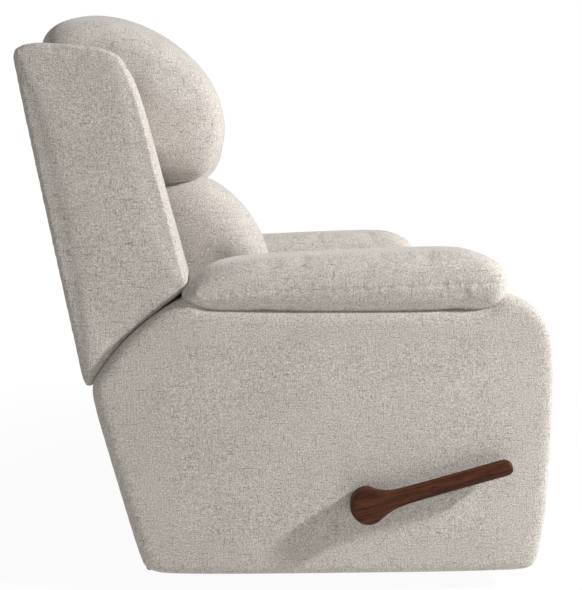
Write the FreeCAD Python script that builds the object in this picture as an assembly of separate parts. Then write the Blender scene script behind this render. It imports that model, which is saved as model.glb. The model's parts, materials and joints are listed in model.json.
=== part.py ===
import FreeCAD, Part
import math
import os

from FreeCAD import Vector

os.makedirs("parts", exist_ok=True)

# Rocker recliner, all sizes in millimetres.
# +X points to the front, +Y to the sitter's left and +Z up.
# The origin lies on the floor, under the middle of the base.

# Driving sizes of the whole chair
arm_outer_y = 455.0
arm_inner_y = 275.0
arm_top_z = 500.0
seat_top_z = 505.0
body_bottom_z = 42.0
overrun = 5.0
running_gap = 0.05
soft_gap = 0.4
seat_gap = 0.3

# Straight runs in which a padded side turns each rounded corner
soft_corner_steps = 4

# Base on the floor
base_front_x = 325.0
base_rear_x = -355.0
base_outer_y = 340.0
base_rail_width = 40.0
base_rail_height = 35.0
base_cross_width = 60.0
base_board_half = 115.0
base_edge_round = 6.0
wear_strip_thick = 3.0
wear_strip_half = 110.0
wear_strip_width = 32.0

# Rocker cams and the rails between them
cam_radius = 600.0
cam_half_length = 260.0
cam_thick = 32.0
cam_top_z = 112.0
seat_rail_x = 145.0
seat_rail_width = 50.0
seat_rail_height = 28.0
seat_rail_z = 60.0

# Rocker springs
spring_x = 80.0
spring_y = 262.0
spring_radius = 19.0
spring_wire = 3.0
spring_turns = 4
spring_gap_count = 48
spring_wire_flats = 6
spring_seat_thick = 3.0
spring_seat_length = 50.0
spring_block_thick = 2.5

# Arm cover, its pocket and the wooden frame in it
arm_rear_top_x = -437.0
arm_rear_top_z = 372.0
arm_rear_bottom_x = -343.0
arm_front_bottom_x = 337.0
arm_bulge_x = 372.0
arm_bulge_z = 400.0
arm_low_front_x = 360.0
arm_low_front_z = 170.0
arm_shoulder_x = 348.0
arm_shoulder_z = 500.0
arm_lip_x = 288.0
arm_lip_z = 533.0
arm_slope_top_x = -324.0
arm_rear_middle_x = -391.0
arm_rear_middle_z = 445.0
arm_side_round = 12.0
arm_crown = 16.0
arm_notch_y = 346.0
arm_notch_z = 112.0
arm_pocket_inset = 17.0
arm_frame_gap = 1.0
arm_board = 24.0

# Arm pad
pad_outer_y = 465.0
pad_inner_y = 265.0
pad_front_x = 306.0
pad_front_z = 552.0
pad_top_z = 611.0
pad_rear_z = 588.0
pad_rear_x = -306.0
pad_lift = 4.0

# Back: side wings, hinge and the places of its frame and pillows
wing_outer_y = 436.0
wing_inner_y = 290.0
wing_tip_x = -455.0
wing_tip_z = 366.0
wing_top_rear_x = -588.0
wing_top_z = 988.0
wing_top_front_x = -383.0
wing_low_front_x = -268.0
wing_low_front_z = 545.0
wing_low_middle_x = -387.0
wing_low_middle_z = 457.0
back_pivot_x = -375.0
back_pivot_z = 300.0
back_frame_depth = 60.0
back_frame_member = 55.0
back_cover_thick = 20.0
pillow_crease_share = 0.4907
pillow_crease_z = seat_top_z + (wing_top_z - seat_top_z) * pillow_crease_share
head_half_width = 286.0
lumbar_half_width = 257.0

# Seat
seat_rear_x = -215.0
seat_frame_front_x = 288.0
seat_front_x = 345.0
seat_side_room = 39.0
seat_frame_half = arm_inner_y - seat_side_room
seat_frame_z = 318.0
seat_frame_height = 50.0
seat_frame_member = 24.0
seat_half_width = 258.0
seat_lip_half = 240.0
seat_wire = 2.0

# Handle and its drive shaft
handle_x = 42.0
handle_z = 170.0
handle_inner_y = 458.0
handle_length = 255.0
handle_rise_deg = 15.2
handle_width = 26.0
boss_radius = 31.0
boss_thick = 34.0
lever_thick = 20.0
shaft_radius = 9.5

# Layers of the steel linkage, from the arm inwards
plate_outer_y = 274.6
plate_thick = 4.0
link_thick = 4.0
link_pitch = 5.0
link_width = 20.0
rivet_radius = 4.0
rivet_head_radius = 6.5
rivet_head_thick = 0.8

# Back: edges of the wings, wooden frame, rear cover, headrest and lumbar pillows
wing_edge = 17.0
back_round = 8.0
back_frame_low_z = 346.0
back_frame_drop = 4.0
back_frame_top_z = wing_top_z - back_frame_drop
back_step_z = 450.0
back_side_room = 19.0
back_frame_half = arm_inner_y - back_side_room
back_cover_low_z = 384.0
head_crease_x = -242.0
head_front_x = -196.0
head_front_rise = 113.0
head_front_z = pillow_crease_z + head_front_rise
head_upper_x = -236.0
head_upper_z = wing_top_z - back_frame_drop
head_top_x = -400.0
head_rise = 133.0
head_top_z = wing_top_z + head_rise
head_rear_x = -590.0
head_round = 60.0
lumbar_upper_x = -160.0
lumbar_upper_drop = 42.0
lumbar_upper_z = pillow_crease_z - lumbar_upper_drop
lumbar_front_x = -96.0
lumbar_front_rise = 70.0
lumbar_front_z = seat_top_z + lumbar_front_rise
lumbar_round = 55.0
lumbar_tail_z = 405.0


# Sides of padded pieces from the outermost face inwards: share of a step and of the roundness drawn in
arm_outer_shares = [(0, 8), (0.25, 3), (0.8, 0.8), (1.8, 0)]
arm_inner_shares = [(0, 0.5), (1, 0)]
pad_edge_shares = [(0, 1.9), (0.4, 1.1), (1.3, 0.5), (3.5, 0.1)]
wing_outer_shares = [(0, 1.9), (0.5, 0.8), (1.3, 0.25), (2.4, 0)]
wing_inner_shares = [(0, 0.9), (0.4, 0.3), (1, 0)]
seat_edge_shares = [(0, 1.4), (0.5, 0.6), (1.7, 0.15), (4, 0)]
footrest_edge_shares = [(0, 0.8), (0.4, 0.3), (1.2, 0)]

# Pillow sections from the middle out: share of the half width, of the depth and of the height
head_shares = [(0, 1, 1), (0.38, 0.995, 0.975), (0.66, 0.98, 0.89), (0.83, 0.96, 0.84), (0.93, 0.93, 0.8),
               (0.98, 0.89, 0.765), (1, 0.83, 0.71)]
lumbar_shares = [(0, 1, 1), (0.55, 0.99, 0.99), (0.8, 0.965, 0.965), (0.92, 0.93, 0.93), (0.98, 0.89, 0.89),
                 (1, 0.84, 0.84)]

# Recline: pivot, lug and drive of the seat
recline_deg = 25.0
drive_radius = 100.0
drive_start_deg = -2.0
drive_link_gap = 1.0
bracket_top_z = 440.0
bracket_lug = 16.0
pivot_radius = 6.0
pivot_head_thick = 4.0
hinge_plate_front_x = -262.0
hinge_plate_half = 26.0
bolt_radius = 3.5
bolt_head_radius = 6.4
bolt_head_thick = 2.6
open_seat_gap = 3.0

# Seat springs, guides and sliders
seat_spring_count = 5
seat_spring_loops = 9
seat_spring_swing = 16.0
seat_bend_steps = 6
guide_rear_x = -118.0
guide_front_x = 82.0
guide_middle_z = 322.0
guide_half = 11.0
guide_wall = 2.5
guide_open_gap = 3.0
slider_length = 40.0
slider_spacing = 110.0
slider_gap = 0.4
slider_stud_radius = 5.0

# Leg rest links in the side view, folded: pivots on the plate, knees and crossing
link_p1 = (224.0, 325.0)
link_p2 = (194.0, 334.0)
link_k1 = (148.5, 116.5)
link_k2 = (115.0, 133.5)
link_k3 = (121.5, 182.0)
plate_margin = 22.0
bushing_wall = 3.0
bushing_flange = 1.2
spacer_wall = 2.0
crank_length = 45.0
open_pivot_gap = 1.3
open_drive_gap = 0.6

# Footrest
footrest_pivot_x = 306.0
footrest_s1_z = 221.0
footrest_s2_z = 272.0
footrest_board_x = 318.0
footrest_board_thick = 12.0
footrest_half = 250.0
footrest_low_z = 82.0
footrest_high_z = 308.0
footrest_wrap = 7.0
edge_along_share = 0.9
footrest_pad = 27.0

# Handle lever sections: share of the length, of the width and of the thickness
handle_shares = [(0.05, 1.65, 1.12), (0.11, 1.5, 1.1), (0.15, 1.28, 1.04), (0.2, 1.1, 0.97),
                 (0.28, 1.0, 0.92), (0.6, 0.97, 0.9), (0.93, 1.0, 0.9), (0.97, 0.93, 0.84),
                 (0.99, 0.78, 0.7), (1.0, 0.56, 0.5)]
lever_flats = 20
lever_squareness = 0.8

# Handle boss from the arm outwards: share of the radius and of the depth from the face
boss_shares = [(0.93, 1.0), (0.98, 0.97), (1.0, 0.91), (1.0, 0.19), (0.985, 0.09), (0.95, 0.03), (0.9, 0.0)]
boss_dish = 1.5
boss_socket_share = 0.6
boss_screw_share = 0.3
screw_radius = 3.0
screw_depth = 3.0


def straight_or_arc(wire_points):
    """Edges of a closed outline from (start, middle or None, end) runs."""
    edges = []
    for start, middle, end in wire_points:
        if middle is None:
            edges.append(Part.LineSegment(start, end).toShape())
        else:
            edges.append(Part.Arc(start, middle, end).toShape())
    return edges


def rounded_corners(corners, y):
    """Start, middle, end and centre of the rounding of each (x, z, radius) corner, in the plane at y."""
    count = len(corners)
    rounded = []
    for index in range(count):
        before = corners[index - 1]
        here = corners[index]
        after = corners[(index + 1) % count]
        back = Vector(before[0] - here[0], 0, before[1] - here[1])
        ahead = Vector(after[0] - here[0], 0, after[1] - here[1])
        turn = back.getAngle(ahead)
        point = Vector(here[0], y, here[1])
        reach = here[2] / math.tan(turn / 2)
        back.normalize()
        ahead.normalize()
        start = point + back * reach
        end = point + ahead * reach
        inward = back + ahead
        inward.normalize()
        to_centre = here[2] / math.sin(turn / 2)
        middle = point + inward * (to_centre - here[2])
        rounded.append((start, middle, end, point + inward * to_centre))
    return rounded


def outline(corners, y):
    """Closed wire in the plane at y, through (x, z, radius) corners, each rounded by its radius."""
    rounded = rounded_corners(corners, y)
    runs = []
    for index, (start, middle, end, _) in enumerate(rounded):
        next_start = rounded[(index + 1) % len(rounded)][0]
        runs.append((start, middle, end))
        if (next_start - end).Length > 1e-6:
            runs.append((end, None, next_start))
    return Part.Wire(straight_or_arc(runs))


def soft_outline(corners, y):
    """The same wire with each rounding in straight runs, so that a padded side is made of flat facets."""
    points = []
    for start, _, end, centre in rounded_corners(corners, y):
        from_centre = start - centre
        turn = from_centre.getAngle(end - centre)
        axis = from_centre.cross(end - centre)
        axis.normalize()
        for step in range(soft_corner_steps + 1):
            swing = FreeCAD.Rotation(axis, math.degrees(turn) * step / soft_corner_steps)
            points.append(centre + swing.multVec(from_centre))
    return Part.makePolygon(points + points[:1])


def slab(corners, y_low, y_high):
    """Outline in the side view, extruded from y_low to y_high."""
    face = Part.Face(outline(corners, y_low))
    return face.extrude(Vector(0, y_high - y_low, 0))


def drawn_in(corners, centre, inset_x, inset_z, half_x, half_z):
    """The same outline with its extents drawn in towards a centre."""
    share_x = 1 - inset_x / half_x
    share_z = 1 - inset_z / half_z
    moved = []
    for x, z, radius in corners:
        moved_x = centre[0] + (x - centre[0]) * share_x
        moved_z = centre[1] + (z - centre[1]) * share_z
        moved.append((moved_x, moved_z, radius * min(share_x, share_z)))
    return moved


def edge_stations(side_y, inwards, step_size, draw_size, shares):
    """(y, inset) stations of one side of a padded piece, from its outermost face inwards."""
    return [(side_y + inwards * step_size * step, draw_size * inset) for step, inset in shares]


def padded_slab(corners, stations, centre):
    """Loft of one outline through (y, inset) stations, for an upholstered side or pad."""
    half_x = (max(c[0] for c in corners) - min(c[0] for c in corners)) / 2
    half_z = (max(c[1] for c in corners) - min(c[1] for c in corners)) / 2
    wires = []
    for y, inset in stations:
        wires.append(soft_outline(drawn_in(corners, centre, inset, inset, half_x, half_z), y))
    return Part.makeLoft(wires, True, True)


def shared_loft(corners, stations, anchor):
    """Loft of one outline through (y, depth share, height share) stations, scaled about an anchor point."""
    wires = []
    for y, depth_share, height_share in stations:
        scaled = []
        for x, z, radius in corners:
            scaled_x = anchor[0] + (x - anchor[0]) * depth_share
            scaled_z = anchor[1] + (z - anchor[1]) * height_share
            scaled.append((scaled_x, scaled_z, radius * height_share))
        wires.append(soft_outline(scaled, y))
    return Part.makeLoft(wires, True, True)


def block(x_low, x_high, y_low, y_high, z_low, z_high):
    """Plain rectangular cut or member between two corners."""
    corner = Vector(x_low, y_low, z_low)
    return Part.makeBox(x_high - x_low, y_high - y_low, z_high - z_low, corner)


def cross_rod(x, z, radius, y_low, y_high):
    """Round rod or bore along Y."""
    return Part.makeCylinder(radius, y_high - y_low, Vector(x, y_low, z), Vector(0, 1, 0))


def mirrored(shape):
    """The same piece on the other side of the chair."""
    return shape.mirror(Vector(0, 0, 0), Vector(0, 1, 0))


def save(name, shape):
    """Write one node, and say so if its shape isn't valid."""
    if not shape.isValid():
        print("not valid:", name)
    shape.exportStep("parts/" + name + ".step")


def save_pair(name, right_shape):
    """Write the right-hand piece, on the -Y side, and its left-hand mirror image."""
    save(name + "_right", right_shape)
    save(name + "_left", mirrored(right_shape))


def save_both(name, right_shape):
    """Write small pieces of both sides as one node."""
    save(name, Part.makeCompound([right_shape, mirrored(right_shape)]))


def base_side_rail():
    """Black wooden floor rail with eased ends."""
    corners = [
        (base_rear_x, 0, base_edge_round),
        (base_front_x, 0, base_edge_round),
        (base_front_x, base_rail_height, base_edge_round * 2),
        (base_rear_x, base_rail_height, base_edge_round * 2),
    ]
    return slab(corners, -base_outer_y, base_rail_width - base_outer_y)


def base_cross_rails():
    """Front and rear cross rails of the base, between the side rails."""
    inner = base_outer_y - base_rail_width
    front_low = base_front_x - base_cross_width - base_rail_width
    rear_high = base_rear_x + base_cross_width + base_rail_width
    front = block(front_low, front_low + base_cross_width, -inner, inner, 0, base_rail_height)
    rear = block(rear_high - base_cross_width, rear_high, -inner, inner, 0, base_rail_height)
    return front, rear


def base_centre_board():
    """Wide middle board that carries the rocker springs."""
    inner = base_outer_y - base_rail_width
    return block(-base_board_half, base_board_half, -inner, inner, 0, base_rail_height)


def wear_strip():
    """Rubber strip on the side rail, on which the rocker cam rolls."""
    middle = base_outer_y - base_rail_width / 2
    low = -middle - wear_strip_width / 2
    top = base_rail_height + wear_strip_thick
    return block(-wear_strip_half, wear_strip_half, low, low + wear_strip_width, base_rail_height, top)


def cam_bottom_z():
    """Lowest line of the rocker cam, just clear of its wear strip."""
    return base_rail_height + wear_strip_thick + seat_gap


def rocker_cam():
    """Wooden rocker: one arc below, flat where it meets the chair frame."""
    low = cam_bottom_z()
    end_z = low + cam_radius - math.sqrt(cam_radius ** 2 - cam_half_length ** 2)
    middle = base_outer_y - base_rail_width / 2
    y = -middle - cam_thick / 2
    rear_low = Vector(-cam_half_length, y, end_z)
    front_low = Vector(cam_half_length, y, end_z)
    front_top = Vector(cam_half_length, y, cam_top_z)
    rear_top = Vector(-cam_half_length, y, cam_top_z)
    runs = [
        (rear_low, Vector(0, y, low), front_low),
        (front_low, None, front_top),
        (front_top, None, rear_top),
        (rear_top, None, rear_low),
    ]
    face = Part.Face(Part.Wire(straight_or_arc(runs)))
    return face.extrude(Vector(0, cam_thick, 0))


def seat_rail(x_middle):
    """Cross rail between the two rocker cams."""
    half = base_outer_y - base_rail_width / 2 - cam_thick / 2
    low = x_middle - seat_rail_width / 2
    return block(low, low + seat_rail_width, -half, half, seat_rail_z, seat_rail_z + seat_rail_height)


def spring_low_z():
    """Where the rocker springs stand."""
    return base_rail_height + spring_block_thick


def spring_high_z():
    """Underside of the upper spring seats."""
    return cam_top_z - spring_seat_thick


def spring_lower_seat():
    """Two steel washers under the springs of one side, pressed up round each end coil."""
    parts = []
    for x in (-spring_x, spring_x):
        foot = Vector(x, -spring_y, base_rail_height)
        disc = Part.makeCylinder(spring_radius + spring_wire * 2, spring_block_thick, foot)
        dome = Part.makeCylinder(spring_radius - spring_wire * 2, spring_block_thick * 2, foot)
        parts.append(disc.fuse(dome))
    return Part.makeCompound(parts)


def spring_upper_seat():
    """Steel angle on the inner face of the cam, over both springs of one side."""
    cam_inner = base_outer_y - base_rail_width / 2 - cam_thick / 2
    reach = spring_x + spring_seat_length / 2
    inner = spring_y - spring_seat_length / 2
    flat = block(-reach, reach, -cam_inner, -inner, spring_high_z(), cam_top_z)
    drop = spring_seat_length / 2
    wall = block(-reach, reach, -cam_inner, spring_seat_thick - cam_inner, cam_top_z - drop, cam_top_z)
    return flat.fuse(wall)


def spring_tube(x):
    """One open coil spring as a single unbroken tube on half-turn biarcs."""
    low = spring_low_z() + spring_wire + seat_gap
    high = spring_high_z() - spring_wire - seat_gap
    rise = (high - low) / spring_turns
    slope = rise / (2 * math.pi * spring_radius)
    edges = []
    for index in range(spring_turns * 2):
        start = spring_point(x, low, rise, index * math.pi)
        end = spring_point(x, low, rise, (index + 1) * math.pi)
        side = 1 if index % 2 == 0 else -1
        edges.extend(biarc(start, Vector(0, side, slope), end, Vector(0, -side, slope)))
    path = Part.Wire(edges)
    shell = Part.BRepOffsetAPI.MakePipeShell(path)
    shell.add(wire_section(spring_point(x, low, rise, 0), Vector(0, 1, slope)))
    shell.build()
    shell.makeSolid()
    print("rocker spring, least gap to itself", round(least_self_gap(path, spring_wire), 2))
    return shell.shape()


def wire_section(centre, along):
    """Section of the spring wire across its start: a ring of flats, for fewer faces."""
    across = along.cross(Vector(1, 0, 0))
    across.normalize()
    points = []
    for index in range(spring_wire_flats + 1):
        angle = (index + 0.5) * 2 * math.pi / spring_wire_flats
        points.append(centre + (Vector(1, 0, 0) * math.cos(angle) + across * math.sin(angle)) * spring_wire)
    return Part.makePolygon(points)


def spring_point(x, low, rise, angle):
    """Point of the spring's middle line at an angle of its winding."""
    return Vector(x + spring_radius * math.cos(angle), -spring_y + spring_radius * math.sin(angle),
                  low + rise * angle / (2 * math.pi))


def least_self_gap(path, radius):
    """Least gap of a wound tube to itself, on points of its middle line half a turn or more apart."""
    per_turn = spring_gap_count
    points = path.discretize(Number=spring_turns * per_turn + 1)
    least = path.Length
    for index, here in enumerate(points):
        for other in points[index + per_turn // 2:]:
            least = min(least, here.distanceToPoint(other) - 2 * radius)
    return least


def biarc(start, lead_in, end, lead_out):
    """Two arcs that leave start along lead_in and reach end along lead_out."""
    first = Vector(lead_in)
    last = Vector(lead_out)
    first.normalize()
    last.normalize()
    chord = end - start
    both = first + last
    middle_term = chord.dot(both)
    scale = 2 * (1 - first.dot(last))
    reach = (-middle_term + math.sqrt(middle_term ** 2 + scale * chord.dot(chord))) / scale
    joint = (start + first * reach + end - last * reach) * 0.5
    return [tangent_arc(start, first, joint), tangent_arc(end, last * -1, joint, True)]


def tangent_arc(start, lead, end, backwards=False):
    """Arc from start along lead to end, or the same arc run the other way."""
    chord = end - start
    middle_angle = lead.getAngle(chord)
    side = lead * (chord.Length / (2 * math.cos(middle_angle)))
    corner = start + side
    bisector = start + chord * 0.5 - corner
    radius = chord.Length / (2 * math.sin(middle_angle))
    sag = radius * (1 - math.cos(middle_angle))
    bisector.normalize()
    middle = start + chord * 0.5 - bisector * sag
    if backwards:
        return Part.Arc(end, middle, start).toShape()
    return Part.Arc(start, middle, end).toShape()


def rocker_springs():
    """The two coil springs of one side."""
    return Part.makeCompound([spring_tube(-spring_x), spring_tube(spring_x)])


def arm_outline():
    """Side outline of the upholstered arm, under the pad."""
    return [
        (arm_rear_bottom_x, body_bottom_z, arm_side_round),
        (arm_front_bottom_x, body_bottom_z, arm_side_round),
        (arm_low_front_x, arm_low_front_z, arm_side_round * 12),
        (arm_bulge_x, arm_bulge_z, arm_side_round * 10),
        (arm_shoulder_x, arm_shoulder_z, arm_side_round * 3),
        (arm_shoulder_x - (arm_shoulder_x - arm_lip_x) / 2, arm_lip_z, arm_side_round * 1.5),
        (arm_lip_x, arm_lip_z, arm_side_round / 4),
        (arm_lip_x, arm_top_z, arm_side_round / 4),
        (arm_slope_top_x, arm_top_z, arm_side_round),
        (arm_rear_middle_x, arm_rear_middle_z, arm_side_round * 2),
        (arm_rear_top_x, arm_rear_top_z, arm_side_round),
    ]


def arm_pocket_outline(inset):
    """Outline of the hollow under the arm, drawn in from the cover."""
    low = arm_notch_z
    front = arm_low_front_x - arm_side_round * 2 - inset
    rear_low = arm_rear_bottom_x + inset - (arm_notch_z - body_bottom_z) * 0.3
    return [
        (rear_low + inset, low, arm_frame_gap),
        (front, low, arm_frame_gap),
        (front, arm_top_z - inset - arm_side_round, arm_side_round),
        (arm_slope_top_x + inset * 0.4, arm_top_z - inset - arm_side_round, arm_side_round),
        (arm_rear_top_x + inset * 1.5, arm_rear_top_z - inset / 2, arm_side_round),
    ]


def arm_cover():
    """Upholstered arm: crowned sides, a pocket for the wooden frame and a notch over the rocker."""
    centre = ((arm_rear_bottom_x + arm_front_bottom_x) / 2, (body_bottom_z + arm_top_z) / 2)
    outer = edge_stations(-arm_outer_y, 1, arm_crown, arm_side_round, arm_outer_shares)
    inner = edge_stations(-arm_inner_y, -1, arm_side_round, arm_side_round, arm_inner_shares)
    cover = padded_slab(arm_outline(), outer + inner[::-1], centre)
    notch = block(arm_rear_top_x - overrun, arm_bulge_x + overrun,
                  -arm_notch_y, overrun - arm_inner_y, 0, arm_notch_z)
    pocket = slab(arm_pocket_outline(arm_pocket_inset), pocket_y_outer(), pocket_y_inner())
    bore = cross_rod(handle_x, handle_z, shaft_bore_radius(), -arm_outer_y - overrun, overrun - arm_inner_y)
    cover = cover.cut(notch).cut(pocket).cut(bore)
    for x, z in plate_bolt_places() + hinge_bolt_places():
        hole = cross_rod(x, z, bolt_radius + soft_gap, pocket_y_inner() - overrun, overrun - arm_inner_y)
        cover = cover.cut(hole)
    return cover


def pocket_y_inner():
    """Inner wall of the pocket in the arm cover."""
    return -arm_inner_y - arm_pocket_inset


def pocket_y_outer():
    """Outer wall of the pocket in the arm cover."""
    return pocket_y_inner() - arm_board - arm_frame_gap * 2


def shaft_bore_radius():
    """Clear hole for the drive shaft through the upholstered arm."""
    return shaft_radius + arm_side_round / 4


def arm_frame():
    """Plywood side of the arm, standing in the pocket of the cover."""
    inset = arm_pocket_inset + arm_frame_gap
    outer = pocket_y_outer() + arm_frame_gap
    board = slab(arm_pocket_outline(inset), outer, pocket_y_inner() - arm_frame_gap)
    board = board.cut(cross_rod(handle_x, handle_z, shaft_bore_radius(), outer - overrun,
                                pocket_y_inner() + overrun))
    for x, z in plate_bolt_places() + hinge_bolt_places():
        board = board.cut(cross_rod(x, z, bolt_radius, pocket_y_outer(), pocket_y_inner()))
    return board


def arm_pad():
    """Padded arm top, rising gently to a rounded front."""
    low = arm_top_z + soft_gap
    corners = [
        (pad_rear_x + arm_side_round, low, arm_side_round),
        (wing_low_front_x + arm_side_round, pad_front_z, arm_side_round * 5),
        (wing_low_front_x + arm_side_round * 5, pad_rear_z, arm_side_round * 5),
        (0, (pad_rear_z + pad_top_z) / 2 + arm_side_round / 3, arm_side_round * 20),
        (pad_front_x - arm_side_round * 4, pad_top_z + arm_side_round / 3, arm_side_round * 4),
        (pad_front_x, pad_front_z + arm_side_round, arm_side_round * 2),
        (pad_front_x, arm_lip_z + pad_lift, arm_side_round),
        (arm_lip_x - pad_lift, arm_lip_z + pad_lift, arm_side_round / 4),
        (arm_lip_x - pad_lift, low, arm_side_round / 4),
    ]
    centre = ((pad_rear_x + pad_front_x) / 2, low)
    outer = edge_stations(-pad_outer_y, 1, arm_side_round, arm_side_round, pad_edge_shares)
    inner = edge_stations(-pad_inner_y, -1, arm_side_round, arm_side_round, pad_edge_shares)
    stations = outer + [(-(pad_inner_y + pad_outer_y) / 2, 0)] + inner[::-1]
    return padded_slab(corners, stations, centre).cut(arm_cover())


def back_lean():
    """How far the back's rear line leans for each millimetre of height."""
    return (wing_tip_x - wing_top_rear_x) / (wing_top_z - wing_tip_z)


def rear_x(z):
    """The back's rear line at a height."""
    return wing_top_rear_x + (wing_top_z - z) * back_lean()


def wing():
    """Padded side of the back, whose lower edge follows the slope of the arm."""
    corners = [
        (wing_tip_x, wing_tip_z, wing_edge),
        (wing_top_rear_x, wing_top_z, wing_edge * 4),
        (wing_top_front_x, wing_top_z - wing_edge / 4, wing_edge * 5.5),
        (wing_low_front_x, wing_low_front_z, wing_edge * 1.4),
        (wing_low_middle_x, wing_low_middle_z, wing_edge * 2),
    ]
    centre = ((wing_top_rear_x + wing_low_front_x) / 2, (wing_tip_z + wing_top_z) / 2)
    outer = edge_stations(-wing_outer_y, 1, wing_edge, wing_edge, wing_outer_shares)
    inner = edge_stations(-wing_inner_y, -1, wing_edge, wing_edge, wing_inner_shares)
    return padded_slab(corners, outer + inner[::-1], centre)


def back_strip(front_offset, rear_offset, low_z, high_z, half_width):
    """A board of the back that follows the rear line, between two offsets from it."""
    corners = [
        (rear_x(low_z) + front_offset, low_z, back_round),
        (rear_x(high_z) + front_offset, high_z, back_round),
        (rear_x(high_z) + rear_offset, high_z, back_round),
        (rear_x(low_z) + rear_offset, low_z, back_round),
    ]
    return slab(corners, -half_width, half_width)


def back_frame():
    """Wooden frame of the back: narrow between the arms, wide between the wings."""
    rear = back_cover_thick + soft_gap
    front = rear + back_frame_depth
    wide = wing_inner_y - seat_gap
    frame = back_strip(front, rear, back_frame_low_z, back_frame_top_z, wide)
    reach = wing_top_z - wing_top_rear_x
    for side in (-1, 1):
        y_in = side * back_frame_half
        y_out = side * (wide + overrun)
        side_cut = block(-reach, 0, min(y_in, y_out), max(y_in, y_out), 0, back_step_z)
        frame = frame.cut(side_cut)
    inner = back_frame_half - back_frame_member
    levels = [back_frame_low_z, back_step_z, pillow_crease_z, back_frame_top_z]
    for low, high in zip(levels[:-1], levels[1:]):
        window = block(-reach, 0, -inner, inner,
                       low + back_frame_member, high - back_frame_member / 4)
        if high == back_frame_top_z:
            window = block(-reach, 0, -inner, inner,
                           low + back_frame_member, high - back_frame_member)
        frame = frame.cut(window)
    return frame


def back_cover():
    """Upholstered rear panel of the back."""
    return back_strip(back_cover_thick, 0, back_cover_low_z, back_frame_top_z, wing_inner_y - seat_gap)


def mirrored_stations(half, shares):
    """Stations on both sides, from (width, depth, height) shares given from the middle out."""
    left = [(half * across, depth, height) for across, depth, height in shares]
    right = [(-half * across, depth, height) for across, depth, height in reversed(shares) if across > 0]
    return right + left


def headrest_pillow():
    """Thick pillow at the head, rolled over the top of the back frame."""
    front = rear_x(pillow_crease_z) + back_cover_thick + back_frame_depth + soft_gap * 2
    over = back_frame_top_z + soft_gap
    front_top = rear_x(over) + back_cover_thick + back_frame_depth + soft_gap * 2
    corners = [
        (front, pillow_crease_z + soft_gap, head_round / 8),
        (head_crease_x, pillow_crease_z + soft_gap, head_round / 5),
        (head_front_x, head_front_z, head_round),
        (head_upper_x, head_upper_z, head_round * 1.6),
        (head_top_x, head_top_z, head_round * 1.6),
        (head_rear_x, head_top_z - head_round / 6, head_round),
        (rear_x(over) + back_round, over, head_round / 5),
        (front_top, over, back_round),
    ]
    anchor = (front, pillow_crease_z + soft_gap)
    body = shared_loft(corners, mirrored_stations(head_half_width, head_shares), anchor)
    keep_off = back_strip(back_cover_thick + back_frame_depth + soft_gap, -head_round,
                          back_frame_low_z, back_frame_top_z + soft_gap / 2, wing_inner_y)
    return body.cut(keep_off)


def lumbar_pillow():
    """Pillow for the lower back, with a tail that tucks behind the seat cushion."""
    deep = back_cover_thick + back_frame_depth + soft_gap * 2
    top = pillow_crease_z - soft_gap
    corners = [
        (rear_x(top) + deep, top, back_round),
        (head_crease_x, top, lumbar_round / 3),
        (lumbar_upper_x, lumbar_upper_z, lumbar_round),
        (lumbar_front_x, lumbar_front_z, lumbar_round * 1.3),
        (lumbar_front_x + back_round, seat_top_z + back_round * 1.6, lumbar_round / 2),
        (seat_rear_x - back_round, seat_top_z, back_round),
        (seat_rear_x - back_round * 3, lumbar_tail_z, back_round),
        (rear_x(lumbar_tail_z) + deep, lumbar_tail_z, back_round),
    ]
    anchor = (rear_x(lumbar_front_z) + deep, lumbar_front_z)
    body = shared_loft(corners, mirrored_stations(lumbar_half_width, lumbar_shares), anchor)
    keep_off = back_strip(deep - soft_gap, -lumbar_round, back_frame_low_z, back_frame_top_z, wing_inner_y)
    return body.cut(keep_off)


def lug_place():
    """Pivot of the drive link on the back bracket, a little behind straight below the hinge."""
    turn = math.radians(drive_start_deg)
    return (back_pivot_x + drive_radius * math.sin(turn), back_pivot_z - drive_radius * math.cos(turn))


def back_bracket():
    """Steel bracket on the post of the back, with a lug below the pivot that drives the seat."""
    lug_x, lug_z = lug_place()
    post = rear_x(bracket_top_z) + back_cover_thick
    corners = [
        (lug_x - bracket_lug, lug_z - bracket_lug, bracket_lug * 0.9),
        (lug_x + bracket_lug, lug_z - bracket_lug, bracket_lug * 0.9),
        (back_pivot_x + bracket_lug * 1.6, back_pivot_z, bracket_lug * 2),
        (post + back_frame_depth - bracket_lug / 2, bracket_top_z, bracket_lug / 2),
        (post + bracket_lug / 3, bracket_top_z, bracket_lug / 2),
        (back_pivot_x - bracket_lug * 1.2, back_pivot_z, bracket_lug * 2),
    ]
    outer = -back_frame_half - plate_thick
    plate = slab(corners, outer, -back_frame_half)
    plate = plate.cut(cross_rod(back_pivot_x, back_pivot_z, pivot_radius + running_gap,
                                outer - overrun, overrun - back_frame_half))
    pin_end = seat_drive_link_y() - rivet_head_thick
    plate = plate.fuse(cross_rod(lug_x, lug_z, rivet_radius, pin_end, outer))
    return plate


def plate_cut_y():
    """Span across Y of a hole through a plate on the arm's inner face."""
    return (-plate_outer_y - overrun, plate_thick - plate_outer_y + overrun)


def hinge_plate():
    """Steel plate on the inner face of the arm that carries the back's pivot."""
    corners = [
        (back_pivot_x - bracket_lug, back_pivot_z + bracket_lug, bracket_lug * 0.8),
        (back_pivot_x - bracket_lug, back_pivot_z - bracket_lug, bracket_lug * 0.8),
        (hinge_plate_front_x, back_pivot_z - hinge_plate_half, bracket_lug / 2),
        (hinge_plate_front_x, back_pivot_z + hinge_plate_half, bracket_lug / 2),
    ]
    plate = slab(corners, -plate_outer_y, plate_thick - plate_outer_y)
    plate = plate.cut(cross_rod(back_pivot_x, back_pivot_z, pivot_radius, *plate_cut_y()))
    for x, z in hinge_bolt_places():
        plate = plate.cut(cross_rod(x, z, bolt_radius, *plate_cut_y()))
    return plate


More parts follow.
